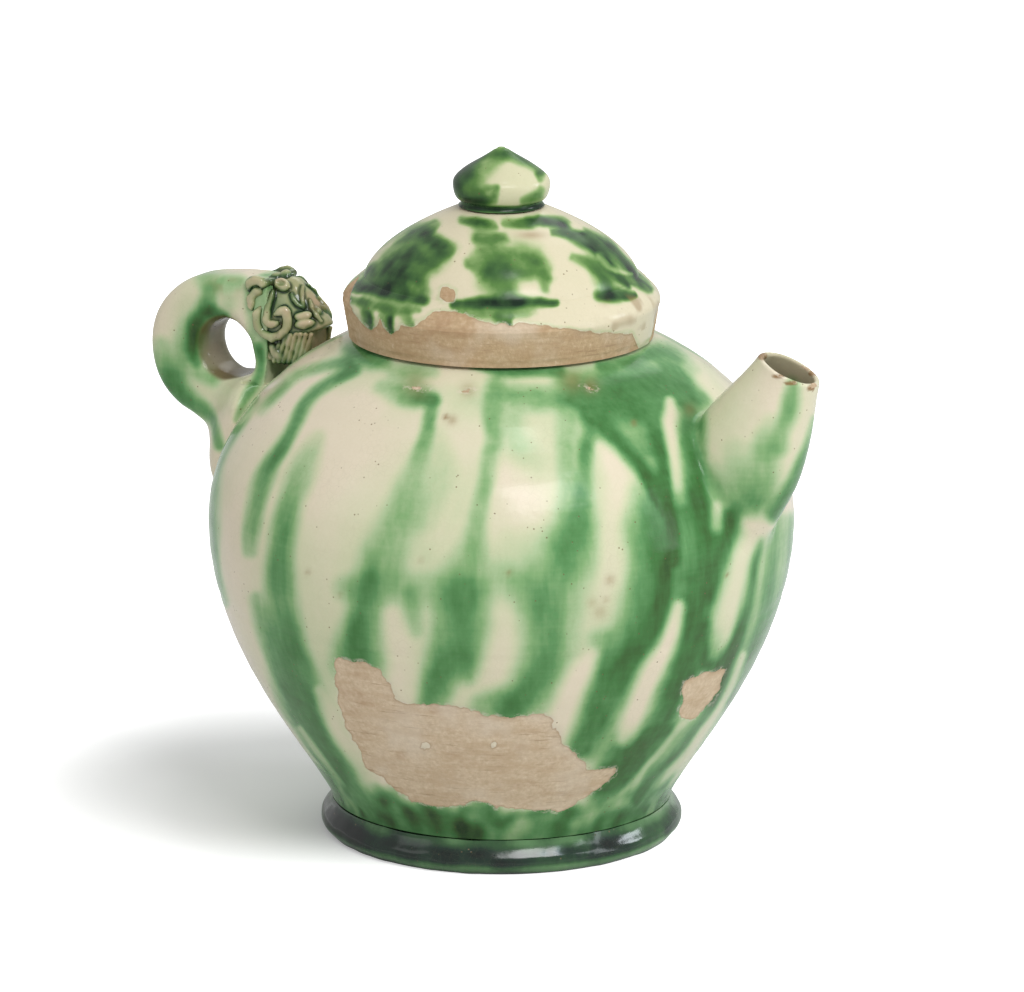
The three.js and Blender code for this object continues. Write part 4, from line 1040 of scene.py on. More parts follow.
KNOB_RUNS = [
    [(460, 182, 8, .5), (466, 172, 9, .55), (476, 165, 7, .45)],
    [(454, 176, 7, .7), (456, 188, 8, .66), (463, 198, 8, .62)],
    [(466, 172, 9, .55), (472, 184, 11, .45), (478, 194, 12, .55)],
    [(452, 176, 4, .7), (458, 167, 6, .82), (470, 161, 6, .76), (484, 155, 5, .66), (494, 152, 5, .4)],
    [(490, 164, 10, .3), (482, 174, 9, .25)],
    [(498, 147, 6, .2), (500, 154, 9, .5)],
    [(506, 153, 7, .5), (520, 157, 8, .66), (532, 162, 7, .62), (540, 169, 6, .45)],
    [(540, 174, 5, .5), (541, 179, 4, .35)],
    [(524, 201, 5, .4), (537, 196, 7, .5), (541, 190, 5, .35)],
    [(489, 188, 4, .3), (497, 188, 4, .5), (494, 193, 5, .4)],
    [(468, 201, 4, .66), (482, 202, 5, .7), (492, 200, 5, .4)],
    [(461, 207, 4, .85), (480, 209, 4, .86), (500, 210, 4, .88), (520, 210, 4, .92), (542, 206, 5, .96)],
]


def lid_line():
    """The lid's outline from the dome's inside down to its seat, round the edge and up the outside."""
    line = bend([(0, 164.6), (6, 164.6), (11.4, 164.55)], [(31.5, 156.1), (35.0, 147.6)], 50)
    line += [(35.2, 147.0), (35.7, 146.7)]
    line += list(bezier([(36.0, 146.5), (40.9, 142.9), (40.9, 140.4)], 22)[1:])
    line += list(even([(40.9, 140.4), (39.5, 132.0)], 0.5)[1:])
    line += [(39.1, 131.3), (38.4, 131.2), (35.8, 132.6), (35.2, 133.6), (35.2, 137), (35.2, 141.5)]
    line = bend(line + [(32, 141.5), (28.5, 141.5)], [(28.5, 151.4), (15.7, 159.5), (0, 159.5)], 16)
    return np.asarray(line)[::-1]


LID_LINE = lid_line()
# The outline's points lower than this are the lid's standing edge
LID_EDGE_Z = 131.25


def lid_bare(points):
    """Distance in millimetres below the lid's glaze edge, positive on bare clay."""
    x, y, z = points.T
    u, v = drawn(points)
    outline = LID_GLAZE_EDGE + [(700, 318), (700, 60), (300, 60), (300, 300)]
    wobble = 3 * (noise(u / 5, v / 5, 1.0) - 0.5)
    front = polygon_distance(outline, u + wobble, v + wobble) * DRAWING_UNIT
    angle = np.arctan2(y, x)
    level = 0 * z
    drips = 6.0 * noise(angle * 2.6 + 7, level, level + 3) ** 2
    drips = drips + 5.0 * ease(0.62, 0.8, noise(angle * 7 + 3, level, level))
    return mix(146.0 - drips - z, front, ease(0.02, 0.3, facing(x, y)))


def lid_depth(points):
    """How far a place lies below the lid's outer surface."""
    line = LID_LINE[::-1]
    outer = np.vstack([line[:np.argmax(line[:, 1] < LID_EDGE_Z) + 1], [0, 131.2]])
    table = Table(lambda r, z: -polygon_distance(outer, r, z), (0, 125), (45, 168), 0.25)
    return table(np.hypot(points[:, 0], points[:, 1]), points[:, 2])


def lid_values(points):
    p = points.T
    x, y, z = p
    u, v = drawn(points)
    ahead = facing(x, y)
    drift = 4 * (lumps(p, 8) - 0.5) + 5 * (lumps(p, 2.5) - 0.5)
    front = brush(LID_RUNS, u + drift, v + 0.5 * drift, 0.6) * (1 - brush(LID_BARE_RUNS, u + drift, v, 0.6))
    back = 0.8 * ease(0.42, 0.62, lumps(p, 11, None, 3, 8))
    green = mix(back, front, ease(-0.35, 0.15, ahead + 0.6 * ease(30, 10, np.hypot(x, y))))
    green = green * (1 + 0.5 * (lumps(p, 3) - 0.5))
    # Bare clay below the glaze's edge, in one chip and inside the lid
    bare = lid_bare(points)
    chip = 1.7 * (1.2 - oval(u, v, 447, 294, 7, 6)) + 1.2 * (lumps(p, 1.5) - 0.5)
    bare = np.maximum(bare, np.where(ahead > 0, chip, NOT_BARE))
    bare = np.where(lid_depth(points) > 1.5, 6.0, bare)
    # A brown stain near the top, and brown at the lower right edge
    stain = 0.5 * spot(u, v, 531, 235, 14, 4)
    stain = stain + 0.5 * ease(0.4, 0.8, lumps(p, 2.8)) * ease(590, 620, u) * ease(292, 300, v) * (v < 330)
    return plain(points, green=green + 0.15 * ease(1.2, 0.2, -bare) * (bare < 0), bare=bare,
                 warm=(ahead > 0) * stain + 0.2 * ease(0.3, 1.5, bare) * lumps(p, 6, 1.5))


def make_lid():
    hidden = len(LID_LINE) - 1 - np.argmax(LID_LINE[::-1, 1] < LID_EDGE_Z)

    def push(angle, radius, height):
        points = on_ring(angle, radius, height)
        bare = lid_bare(points).reshape(angle.shape)
        glazed = -0.22 * ease(-0.3, 0.5, bare)
        rings = 0.05 * np.sin(height * 5.2) * ease(0.0, 1.0, bare) - 0.05
        worn = -0.5 * ease(133.2, 131.2, height) * lumps(points.T, 2.6).reshape(angle.shape)
        outside = (radius > 11.8) & (height > 131.0) & (np.arange(len(radius))[:, None] > hidden)
        return np.where(outside, glazed + rings + worn, 0)

    lid = lathe("lid_cap", LID_LINE, turn(420, 240), push)
    finish_piece(lid, ["lid_cap"], "lid", lid_glaze, lid_values(points_of(lid)))


def make_knob():
    line = bend([(0, 164.9), (6, 164.9), (10.9, 164.9), (11.2, 165.0)], [(10.6, 165.7), (10.6, 166.3)], 5)
    line = bend(line, [(12.4, 166.8), (12.9, 169.9), (12.4, 171.5)], 16)
    line = bend(line, [(11.6, 174.1), (5.7, 176.8), (2.2, 179.4)], 26)
    line = bend(line, [(1.1, 180), (0, 180)], 6)

    def push(angle, radius, height):
        uneven = 0.35 * (lumps(around(angle, radius, height), 5, 4, 2) - 0.9)
        return np.where(radius > 1, uneven, 0)

    knob = lathe("lid_knob", line, turn(160, 110), push)
    spots = points_of(knob)
    u, v = drawn(spots)
    green = brush(KNOB_RUNS, u + 4 * (lumps(spots.T, 4) - 0.5), v, 0.6) + 0.08
    finish_piece(knob, ["lid_knob"], "lid", lid_glaze, plain(spots, green=green))


make_lid()
make_knob()


# Spout: a cone round a bent axis in the plane of x and z, cut off slanting at its mouth

SPOUT_MOUTH = np.array([83.3, 132.0])
SPOUT_BEND = np.array([77.4, 118.9])
SPOUT_ROOT = np.array([58.3, 84.2])
SPOUT_LINE = bezier([SPOUT_MOUTH, SPOUT_BEND, SPOUT_ROOT], 90)
# The axis goes on this far before the mouth. Radii are given at the mouth and at the root.
SPOUT_BEFORE = 20.0
SPOUT_OUTER = (8.5, 15.1)
SPOUT_BORE = (6.8, 11.9)
SPOUT_BORE_SKIN = (7.4, 12.6)
CUT_TILT = np.radians(65)
CUT_TURN = np.radians(12)
CUT = np.array([
    np.cos(CUT_TILT) * np.cos(CUT_TURN),
    np.cos(CUT_TILT) * np.sin(CUT_TURN),
    np.sin(CUT_TILT),
])


def spout_axis(x, z):
    """How far down the spout's axis the nearest place is, and how far off it lies, in the axis' plane."""
    start = SPOUT_LINE[1] - SPOUT_LINE[0]
    line = np.vstack([SPOUT_LINE[0] - SPOUT_BEFORE * start / np.linalg.norm(start), SPOUT_LINE])
    run = -SPOUT_BEFORE
    best = np.full(np.shape(x), 1e9)
    place = np.zeros(np.shape(x))
    for (ax, az), (bx, bz) in zip(line[:-1], line[1:]):
        long = np.hypot(bx - ax, bz - az)
        t = np.clip(((x - ax) * (bx - ax) + (z - az) * (bz - az)) / long ** 2, 0, 1)
        far = np.hypot(x - ax - t * (bx - ax), z - az - t * (bz - az))
        closer = far < best
        best = np.where(closer, far, best)
        place = np.where(closer, run + t * long, place)
        run += long
    return place, best


SPOUT_PLACE, SPOUT_OFF = [
    Table(lambda x, z: spout_axis(x, z)[part], (40, 60), (110, 150), 0.5) for part in (0, 1)]


def spout_radius(place, radii):
    return mix(*radii, np.sin(np.clip(place / 30, 0, 1) * np.pi / 2) ** 1.3)


def past_mouth(x, y, z):
    """Distance past the plane of the spout's mouth."""
    return (x - SPOUT_MOUTH[0]) * CUT[0] + y * CUT[1] + (z - SPOUT_MOUTH[1]) * CUT[2]


def spout_field(x, y, z):
    place = SPOUT_PLACE(x, z)
    off = np.hypot(SPOUT_OFF(x, z), y)
    uneven = 0.012 * np.sin(place * 1.7) + 0.3 * (noise(x / 9, y / 9, z / 9) - 0.5)
    outer = off - spout_radius(place, SPOUT_OUTER) + 0.15 + uneven
    bore = off - spout_radius(place, SPOUT_BORE) + 0.2 * (noise(x / 4, y / 4, z / 4) - 0.5)
    cut = past_mouth(x, y, z) + 0.5 * noise(x / 4, y / 4, z / 4) - 0.1
    tube = soft_max(outer, cut, 1.0)
    return soft_max(join(tube, on_body(x, y, z), 2.2, outer - 3.2), -bore, 0.9)


SPOUT_RUNS = [
    [(793, 384, 7, .36), (791, 398, 9, .48), (788, 415, 9, .48), (782, 432, 8, .36), (779, 446, 9, .32)],
    [(771, 425, 10, .16), (766, 448, 14, .26)],
    [(706, 462, 9, .16), (713, 480, 11, .3), (720, 496, 12, .35)],
    [(735, 452, 12, .14), (738, 476, 15, .34), (742, 502, 15, .44)],
    [(764, 440, 12, .14), (763, 470, 15, .34), (760, 500, 15, .44)],
    [(815, 420, 5, .35), (809, 445, 6, .5), (802, 465, 8, .55), (795, 480, 8, .6), (786, 498, 9, .6),
     (774, 515, 8, .6)],
    [(692, 400, 10, .6), (694, 425, 10, .66), (698, 450, 9, .4)],
    [(734, 512, 9, .5), (730, 535, 8, .5)],
]
SPOUT_CHIPS = [(762, 356, 5, 4), (777, 376, 7, 2), (791, 383, 6, 2), (810, 388, 4, 3), (745, 370, 2, 2),
               (783, 353, 4, 1.5), (812, 373, 4, 3)]


def spout_values(points):
    p = points.T
    x, y, z = p
    u, v = drawn(points)
    place = SPOUT_PLACE(x, z)
    in_bore = np.hypot(SPOUT_OFF(x, z), y) < spout_radius(place, SPOUT_BORE_SKIN)
    from_mouth = np.abs(past_mouth(x, y, z))
    chips = np.full(len(points), NOT_BARE)
    for chip in SPOUT_CHIPS:
        chips = np.maximum(chips, 0.5 * (1.3 - oval(u, v, *chip)))
    chips = chips + 0.5 * (lumps(p, 1.2) - 0.5)
    chips = np.where((y < 9) & (from_mouth < 1.6), chips, NOT_BARE)
    green = brush(SPOUT_RUNS, u + 5 * (lumps(p, 8, 12) - 0.5), v, 0.9) + 0.14 * lumps(p, 12, 20) - 0.04
    green = mix(green, body_values(points)["green"], ease(3.5, 0.4, on_body(x, y, z)) * (x < 80))
    # Inside the bore: a bare-clay tan, and painted shade that deepens further into the spout
    return plain(points, green=green, warm=np.maximum(0.9 * ease(-0.1, 0.3, chips), 0.3 * in_bore),
                 bare=np.where(from_mouth < 0.9, 2.2 * (lumps(p, 2.5) - 0.72), NOT_BARE),
                 pool=0.25 * in_bore * ease(6, 24, place))


spout = net("spout", spout_field, (44, -20, 74), (95, 20, 139), 0.42)
finish_piece(spout, ["spout"], "ewer", body_glaze, spout_values(points_of(spout)))


# Handle: a strap from its root on the shoulder round the finger hole to the neck that carries the head

# Middles of the loop and of the hole, in x and z
LOOP = (-84.3, 118.4)
LOOP_R = 19.7
HOLE = (-79.4, 119.4)
# Half the strap's width: along the loop, at its root, and at the neck's toe
STRAP_HALF = 7.6
ROOT_HALF = 16.5
TOE_HALF = 8.6
# Where the strap ends and the neck starts, back to front and from below. They reach a little into each other.
STRAP_END = (-72.4, 111.6)
NECK_START = (-72.9, 111.0)
NECK_END_X = -66.2


def ring_points(centre, a, b, start, stop, count):
    t = np.radians(np.linspace(start, stop, count))
    return [(centre[0] + a * np.cos(k), centre[1] + b * np.sin(k)) for k in t]


STRAP_OUTER = spline(
    [(-62.0, 138.6), (-70.0, 139.0), (-75.5, 139.0), (-79.5, 138.8)]
    + ring_points(LOOP, LOOP_R, LOOP_R, 99, 251, 12)
    + [(-86.9, 97.4), (-84.7, 94.2), (-83.2, 89.4), (-78.0, 83.2), (-71.0, 78.0)], 1.0)[:, :2]
STRAP_OUTLINE = np.vstack([STRAP_OUTER, [(-58, 78), (-58, 139)]])
HOLE_LINE = spline(
    ring_points(HOLE, 7.8, 7.5, 95, 262, 12)
    + [(-76.6, 112.1), (-73.4, 113.0), (-71.2, 114.4), (-71.3, 116.8), (-71.9, 119.6), (-72.7, 122.4),
       (-74.6, 124.6), (-77.2, 126.2), (-80.1, 126.9)], 0.8)[:, :2]
STRAP_TABLE = Table(
    lambda x, z: np.maximum(polygon_distance(STRAP_OUTLINE, x, z), -polygon_distance(HOLE_LINE, x, z)),
    (-112, 70), (-50, 146), 0.3)


def strap_half(x, y, z):
    """Half the strap's width: it spreads towards its root on the body, and is narrower in the neck."""
    spread = ease(13.5, 0.5, BODY_TABLE(-x, z)) * ease(-64, -72, x) * ease(118, 110, z)
    half = mix(STRAP_HALF, ROOT_HALF, spread)
    toe = ease(9.0, -1.0, BODY_TABLE(np.abs(x), z)) * ease(-76, -72, x) * ease(106, 112, z)
    return mix(half, TOE_HALF, toe * 0.5)


def handle_field(x, y, z):
    flat = STRAP_TABLE(x, z) + 0.7
    sides = np.abs(y) - strap_half(x, y, z) + 0.1
    k = mix(5.5, 3.0, ease(-78, -72, x) * ease(112, 118, z))
    lump = soft_max(flat, sides, k) - 0.12 * k
    lump = lump + 0.35 * (noise(x / 9, y / 9 + 4, z / 9) - 0.5)
    return join(lump, on_body(x, y, z), 1.2, lump - 1.4)


def neck_field(x, y, z):
    neck = np.maximum(handle_field(x, y, z) + 0.02, NECK_START[0] - x)
    neck = np.maximum(neck, x - NECK_END_X)
    return np.maximum(neck, NECK_START[1] - z)


def strap_field(x, y, z):
    """The strap's share of the handle: all of it behind the neck, and its root below the finger hole."""
    return np.maximum(handle_field(x, y, z), np.minimum(x - STRAP_END[0], z - STRAP_END[1]))


HANDLE_RUNS = [
    [(206, 280, 10, .36), (222, 283, 10, .4), (238, 281, 8, .3)],
    [(208, 292, 8, .4), (207, 302, 9, .56), (203, 313, 9, .66), (197, 325, 8, .7), (193, 340, 7, .72),
     (192, 352, 7, .7), (196, 362, 6, .45)],
    [(212, 312, 7, .66), (225, 317, 5, .6)],
    [(195, 330, 14, .28), (185, 350, 14, .34), (178, 370, 12, .36)],
    [(160, 345, 8, .25), (162, 365, 9, .4), (168, 380, 11, .58), (178, 392, 12, .62), (190, 403, 10, .6),
     (203, 411, 8, .58), (212, 419, 6, .58), (217, 432, 5, .5), (220, 446, 5, .5)],
    [(200, 374, 8, .3), (212, 378, 8, .35)],
    [(259, 346, 4, .3), (261, 362, 5, .5), (259, 376, 5, .5), (252, 390, 5, .45), (244, 403, 4, .35),
     (236, 420, 3, .25)],
    [(228, 300, 8, .15), (228, 304, 8, .15)],
]


def handle_values(points):
    p = points.T
    x, y, z = p
    u, v = drawn(points)
    green = brush(HANDLE_RUNS, u + 4 * (lumps(p, 7) - 0.5), v, 0.9)
    green = green + 0.2 * lumps(p, 9, None, 4) - 0.04
    # A wash beside the head
    by_head = ease(-74, -71, x) * ease(116, 121, z)
    green = green + by_head * (0.34 + 0.4 * (lumps(p, 3) - 0.5))
    # The body's colours carry on over the seam, where glaze has gathered, and the finger hole is dirty brown,
    # with painted shade darkest towards the neck
    edge = on_body(x, y, z)
    green = mix(green, body_values(points)["green"], 0.3 * ease(1.5, 0.3, edge))
    rim = ease(1.6, 0.3, edge)
    # The finger hole: brown dirt, and painted shade that grows towards the neck
    hole_dirt_and_shade = ease(2.6, 0.9, np.abs(polygon_distance(HOLE_LINE, x, z))) * ease(7.4, 6.0, np.abs(y))
    rust = 0.35 * spot(u, v, 228, 285, 18, 9) * ease(0.35, 0.6, lumps(p, 3))
    return plain(points, green=green + 0.12 * rim, pool=0.15 * rim + hole_dirt_and_shade * (0.42 + 0.3 * ease(-86, -72, x)),
                 warm=np.maximum(hole_dirt_and_shade * (0.45 + 0.35 * ease(0.3, 0.6, lumps(p, 5))), rust))


for name, field, low, high, step in (
        ("handle_loop", strap_field, (-107, -19, 76), (-58, 19, 141.5), 0.45),
        ("handle_neck", neck_field, (-74, -10, 109), (-65, 10, 141.5), 0.35)):
    piece = net(name, field, low, high, step)
    finish_piece(piece, [name], "ewer", body_glaze, handle_values(points_of(piece)))


# Beast head

CROWN = spline([
    (-69.0, 138.2), (-67.3, 138.8), (-64.6, 139.6), (-60.6, 138.4), (-55.8, 133.8), (-51.0, 128.4)], 0.5)
# The head's width at the jaw and at the snout's tip, where it starts to narrow, and how long that part is
HEAD_WIDE = 14.4
SNOUT_WIDE = 4.6
CHEEK_X = -61.5
CHEEK_LONG = 10.5
# The height where the crown's curve starts, and how far below the crown it stays
SPRING_Z = 127.2
SPRING_BELOW = 3.5


def crown_z(x):
    return np.interp(x, CROWN[:, 0], CROWN[:, 1])


def cheek_half(x):
    share = np.clip((x - CHEEK_X) / CHEEK_LONG, 0, 1)
    return mix(HEAD_WIDE, SNOUT_WIDE, share ** 1.15) / 2


def spring_z(x):
    return np.minimum(SPRING_Z, crown_z(x) - SPRING_BELOW)


def side_y(x, z):
    rise = (z - spring_z(x)) / (crown_z(x) - spring_z(x))
    return np.where(x < -67, HEAD_WIDE / 2, cheek_half(x) * np.sqrt(1 - np.clip(rise, 0, 0.98) ** 2))


HEAD_PROFILE = [(-67.6, 118)] + [tuple(p) for p in CROWN if p[0] > -67.6] + [
    (-51.0, 127.7), (-54.6, 125.9), (-54.9, 125.4), (-54.9, 116)]
HEAD_TABLE = Table(lambda x, z: polygon_distance(HEAD_PROFILE, x, z), (-75, 108), (-44, 146), 0.2)


def head_bulk(x, y, z):
    half = cheek_half(x)
    high = np.maximum(crown_z(x) - spring_z(x), 1.0)
    up = np.maximum(z - spring_z(x), 0)
    ratio = np.sqrt((y / half) ** 2 + (up / high) ** 2) + 1e-6
    slope = np.sqrt((y / half ** 2) ** 2 + (up / high ** 2) ** 2) / ratio + 1e-6
    round_top = np.clip((ratio - 1) / slope, -6, 12)
    return soft_max(round_top, HEAD_TABLE(x, z), 1.0)


def rope(line, x, y, z):
    """Distance to a round rope whose points are (x, y, z, radius)."""
    best = np.full(np.shape(x), 1e9)
    for a, b in zip(line[:-1], line[1:]):
        d = b[:3] - a[:3]
        t = ((x - a[0]) * d[0] + (y - a[1]) * d[1] + (z - a[2]) * d[2]) / (d @ d + 1e-9)
        t = np.clip(t, 0, 1)
        far = np.sqrt((x - a[0] - t * d[0]) ** 2 + (y - a[1] - t * d[1]) ** 2 + (z - a[2] - t * d[2]) ** 2)
        best = np.minimum(best, far - mix(a[3], b[3], t))
    return best


def cheek_roll(points, width, side, lift, step=0.6):
    """A roll of clay laid on the cheek along (x, z) points, finer towards its ends."""
    line = even(spline(points, 0.4), step)
    share = np.linspace(0, 1, len(line))
    end = np.minimum(share, 1 - share) * (len(line) - 1) * step
    radius = width / 2 * np.sqrt(np.clip(0.35 + end / 2.5, 0, 1))
    y = side_y(line[:, 0], line[:, 1]) + lift
    return np.stack([line[:, 0], side * y, line[:, 1], radius], 1)


CURL = (-64.7, 128.7)
CURL_R = 4.5


def curl_at(*offsets):
    return [(CURL[0] + a, CURL[1] + b) for a, b in offsets]


# Each roll's line, its width, and how far its middle lies out from the cheek.
SPRIGS = {
    "mane_curl": (
        ring_points(CURL, CURL_R, CURL_R, 142, 400, 16) + curl_at((CURL_R * 0.3, CURL_R * 0.42)), 2.5, 0.4),
    "mane_tongue": (
        curl_at((-0.9, 7.2), (-1.35, 3.6), (-1.62, -0.22), (-0.45, -1.12), (1.62, -0.45)), 2.0, 0.45),
    "crest_curl": (curl_at((-6.75, 7.47), (-6.57, 9.18), (-4.41, 10.08), (-1.58, 9.09)), 2.7, 0.3),
    "side_lock": (curl_at((-2.02, 7.74), (-4.5, 7.29), (-6.21, 5.4), (-6.12, 2.7)), 2.6, 0.3),
    "jaw_lock": (curl_at((-0.45, -6.75), (1.08, -8.37), (2.7, -10.17)), 3.5, -0.5),
}
BROWS = ([(-59.1, 137.0), (-58.0, 134.6), (-57.0, 132.1)], [(-60.5, 135.6), (-58.9, 133.5), (-57.0, 132.1)])
EYE_LID = [(-56.4, 133.8), (-54.5, 130.9), (-52.7, 128.9)]
EYE_BALL = (-54.6, 1.5, 130.9)
EYE_BALL_R = 1.25
TEETH = 7


def leaf_field(size, centre, degrees, yaw, x, y, z):
    """Distance to a flattened ball, turned in the cheek's plane and then about the upright."""
    dx, dy, dz = x - centre[0], y - centre[1], z - centre[2]
    c, s = np.cos(yaw), np.sin(yaw)
    dx, dy = c * dx + s * dy, -s * dx + c * dy
    c, s = np.cos(np.radians(degrees)), np.sin(np.radians(degrees))
    dx, dz = c * dx - s * dz, s * dx + c * dz
    parts = list(zip((dx, dy, dz), size))
    ratio = np.sqrt(sum((d / half) ** 2 for d, half in parts)) + 1e-6
    slope = np.sqrt(sum((d / half ** 2) ** 2 for d, half in parts)) / ratio + 1e-6
    return (ratio - 1) / slope


def ear_field(side):
    """An ear: a leaf with a dish pressed into it, leaning out by 40 degrees."""
    place = (CURL[0] + 1.17, side * 4.18, CURL[1] + (9.0 if side < 0 else 8.3))
    c, s = np.cos(np.radians(40)), np.sin(np.radians(40)) * side

    def ear(x, y, z):
        dy, dz = y - place[1], z - place[2]
        dy, dz = c * dy + s * dz, -s * dy + c * dz
        leaf = leaf_field((2.6, 1.3, 1.75), (place[0], 0, 0), 14, 0, x, dy, dz)
        dish = leaf_field((1.7, 1.4, 1.05), (place[0], side * 1.7, 0), 14, 0, x, dy, dz)
        return soft_max(leaf, -dish, 0.3)
    return ear


def eye_field(side):
    lid = cheek_roll(EYE_LID, 1.4, side, 0.05)

    def eye(x, y, z):
        ball = np.sqrt((x - EYE_BALL[0]) ** 2 + (y - EYE_BALL[1] * side) ** 2 + (z - EYE_BALL[2]) ** 2)
        return soft_min(rope(lid, x, y, z), ball - EYE_BALL_R, 0.15)
    return eye


def lip_field(side):
    yaw = side * -np.arctan2(cheek_half(-57.0) - cheek_half(-55.0), 2)

    def lip(x, y, z):
        upper, lower = [
            leaf_field((long, 1.5, 1.3), (at_x, side * side_y(at_x, at_z), at_z), -10, yaw, x, y, z)
            for long, at_x, at_z in ((2.4, -56.8, 130.3), (2.9, -56.2, 128.3))]
        return soft_min(upper, lower, 0.2)
    return lip


def ropes_field(lines, blend):
    """Several rolls run together."""
    def ropes(x, y, z):
        best = rope(lines[0], x, y, z)
        for line in lines[1:]:
            best = soft_min(best, rope(line, x, y, z), blend)
        return best
    return ropes


def teeth_field(side):
    ribs = []
    for k in range(TEETH):
        rx = mix(-62.9, -55.5, k / (TEETH - 1))
        ry = side * (cheek_half(rx) + 0.2)
        ribs.append(np.array([[rx + 1.05, ry, 125.4, 0.66], [rx - 1.05, ry, 118.0, 0.74]]))
    return ropes_field(ribs, 0.08)


def sprig_field(kind, side):
    """The raised form of one sprig on one cheek, before it is joined to the head."""
    if kind in SPRIGS:
        points, width, lift = SPRIGS[kind]
        lift = -0.3 if kind == "crest_curl" and side > 0 else lift
        return ropes_field([cheek_roll(points, width, side, lift)], 1.0)
    if kind == "brow":
        return ropes_field([cheek_roll(fold, 1.35, side, 0.05) for fold in BROWS], 0.2)
    return {"ear": ear_field, "eye": eye_field, "lip": lip_field, "teeth": teeth_field}[kind](side)


def topknot_field(x, y, z):
    first = leaf_field((2.2, 2.2, 2.1), (-67.4, 0, crown_z(-67.4) - 0.95), 10, 0, x, y, z)
    second = leaf_field((1.7, 1.8, 1.6), (-65.0, 0, crown_z(-65.0) - 0.45), -10, 0, x, y, z)
    return soft_min(first, second, 0.3)


# The grid step of the sprigs' meshes, and the corners in x and z of the box in which each kind lies
SPRIG_STEP = 0.22
CORNERS = {
    "mane_curl": ((-71.5, 121.5), (-57.5, 136.5)), "mane_tongue": ((-68.6, 125.5), (-61.5, 138.5)),
    "crest_curl": ((-74.5, 133.0), (-59.5, 141.0)), "side_lock": ((-74.0, 127.5), (-67.5, 138.0)),
    "jaw_lock": ((-69.5, 115.0), (-59.5, 125.0)), "ear": ((-67.5, 133.5), (-59.5, 141.0)),
    "brow": ((-63.0, 130.5), (-55.5, 139.0)), "eye": ((-58.0, 126.5), (-49.5, 135.0)),
    "lip": ((-61.0, 126.5), (-52.5, 133.5)), "teeth": ((-65.5, 114.0), (-52.0, 128.5)),
}
FIELDS = {(kind, side): sprig_field(kind, side) for kind in CORNERS for side in (-1, 1)}


# The neck as the sprigs meet it: a slab from back to front, with its half width and its top
SLAB_X = (-73.0, -66.5)
SLAB_HALF = 7.1
SLAB_TOP = 138.8


def carrier(x, y, z):
    """Distance to everything that a sprig is luted on: head, neck and body."""
    slab = soft_max(np.maximum(x - SLAB_X[1], SLAB_X[0] - x), np.abs(y) - SLAB_HALF, 1.0)
    slab = np.maximum(slab, z - SLAB_TOP)
    return np.minimum(np.minimum(head_bulk(x, y, z), slab), on_body(x, y, z))


def head_field(x, y, z):
    lump = head_bulk(x, y, z) + 0.6 * (noise(x / 2.2, y / 2.2, z / 2.2) - 0.35)
    return join(lump, on_body(x, y, z), 0.7, lump - 1.2)


def sprig_on_head(own):
    def joined(x, y, z):
        form = own(x, y, z) + 0.45 * (noise(x / 1.4, y / 1.4, z / 1.4) - 0.5)
        return join(form, carrier(x, y, z), 0.55, form - 0.55, 0.12, 0.75)
    return joined


def near_sprigs(points, skip=None):
    """Distance from each point to the nearest sprig but one."""
    x, y, z = points.T
    best = np.full(len(points), 9.0)
    for key, own in FIELDS.items():
        if key == skip:
            continue
        best = np.minimum(best, own(x, y, z))
    return best


def head_values(points, own=None, skip=None):
    p = points.T
    x, y, z = p
    hollow = ease(1.1, 0.0, near_sprigs(points, skip)) * ease(117, 121, z)
    warm_side = ease(-61, -55, x)
    green = 0.36 + 0.5 * (lumps(p, 4) - 0.5) - 0.26 * warm_side
    if own is not None:
        height = carrier(x, y, z)
        green = green + 0.6 * ease(1.3, 0.0, height) - 0.2 * ease(0.9, 1.8, height)
        hollow = 0.8 * hollow
    brown = 0.45 * ease(0.4, 0.7, lumps(p, 2.5, None, 0, 8)) * mix(0.35, 1, warm_side)
    pool = 0.7 * hollow * ease(0.2, 0.6, lumps(p, 2) + 0.2)
    return plain(points, green=green + 0.45 * hollow, pool=pool, warm=brown)


def make_head_piece(name, field, low, high, step, own=None, skip=None):
    piece = net(name, field, low, high, step)
    values = head_values(points_of(piece), own, skip)
    finish_piece(piece, [name], "ewer", head_glaze, values)


make_head_piece("beast_head", head_field, (-68.6, -9.5, 112), (-48.5, 9.5, 141.5), 0.25)
for kind, ((x0, z0), (x1, z1)) in CORNERS.items():
    for side, word in ((-1, "right"), (1, "left")):
        y0, y1 = (-10.5, -0.2) if side < 0 else (0.2, 10.5)
        own = FIELDS[(kind, side)]
        make_head_piece(f"{kind}_{word}", sprig_on_head(own), (x0, y0, z0), (x1, y1, z1), SPRIG_STEP,
                        own, (kind, side))
make_head_piece("topknot", sprig_on_head(topknot_field), (-71, -4, 134), (-59, 4, 142.5), SPRIG_STEP,
                topknot_field)


# Floor, light and camera

# The floor's half size in metres and its grey. For the camera it also glows, so that it shows white, but less
# round the pot's shadow: the least glow, and where it starts and ends to grow, in metres from a middle.
FLOOR_HALF = 6.0
FLOOR_GREY = 0.8
GLOW_MIDDLE = (-0.068, 0.0, 0)
GLOW_START = 0.035
GLOW_END = 0.12
GLOW_LEAST = 0.12


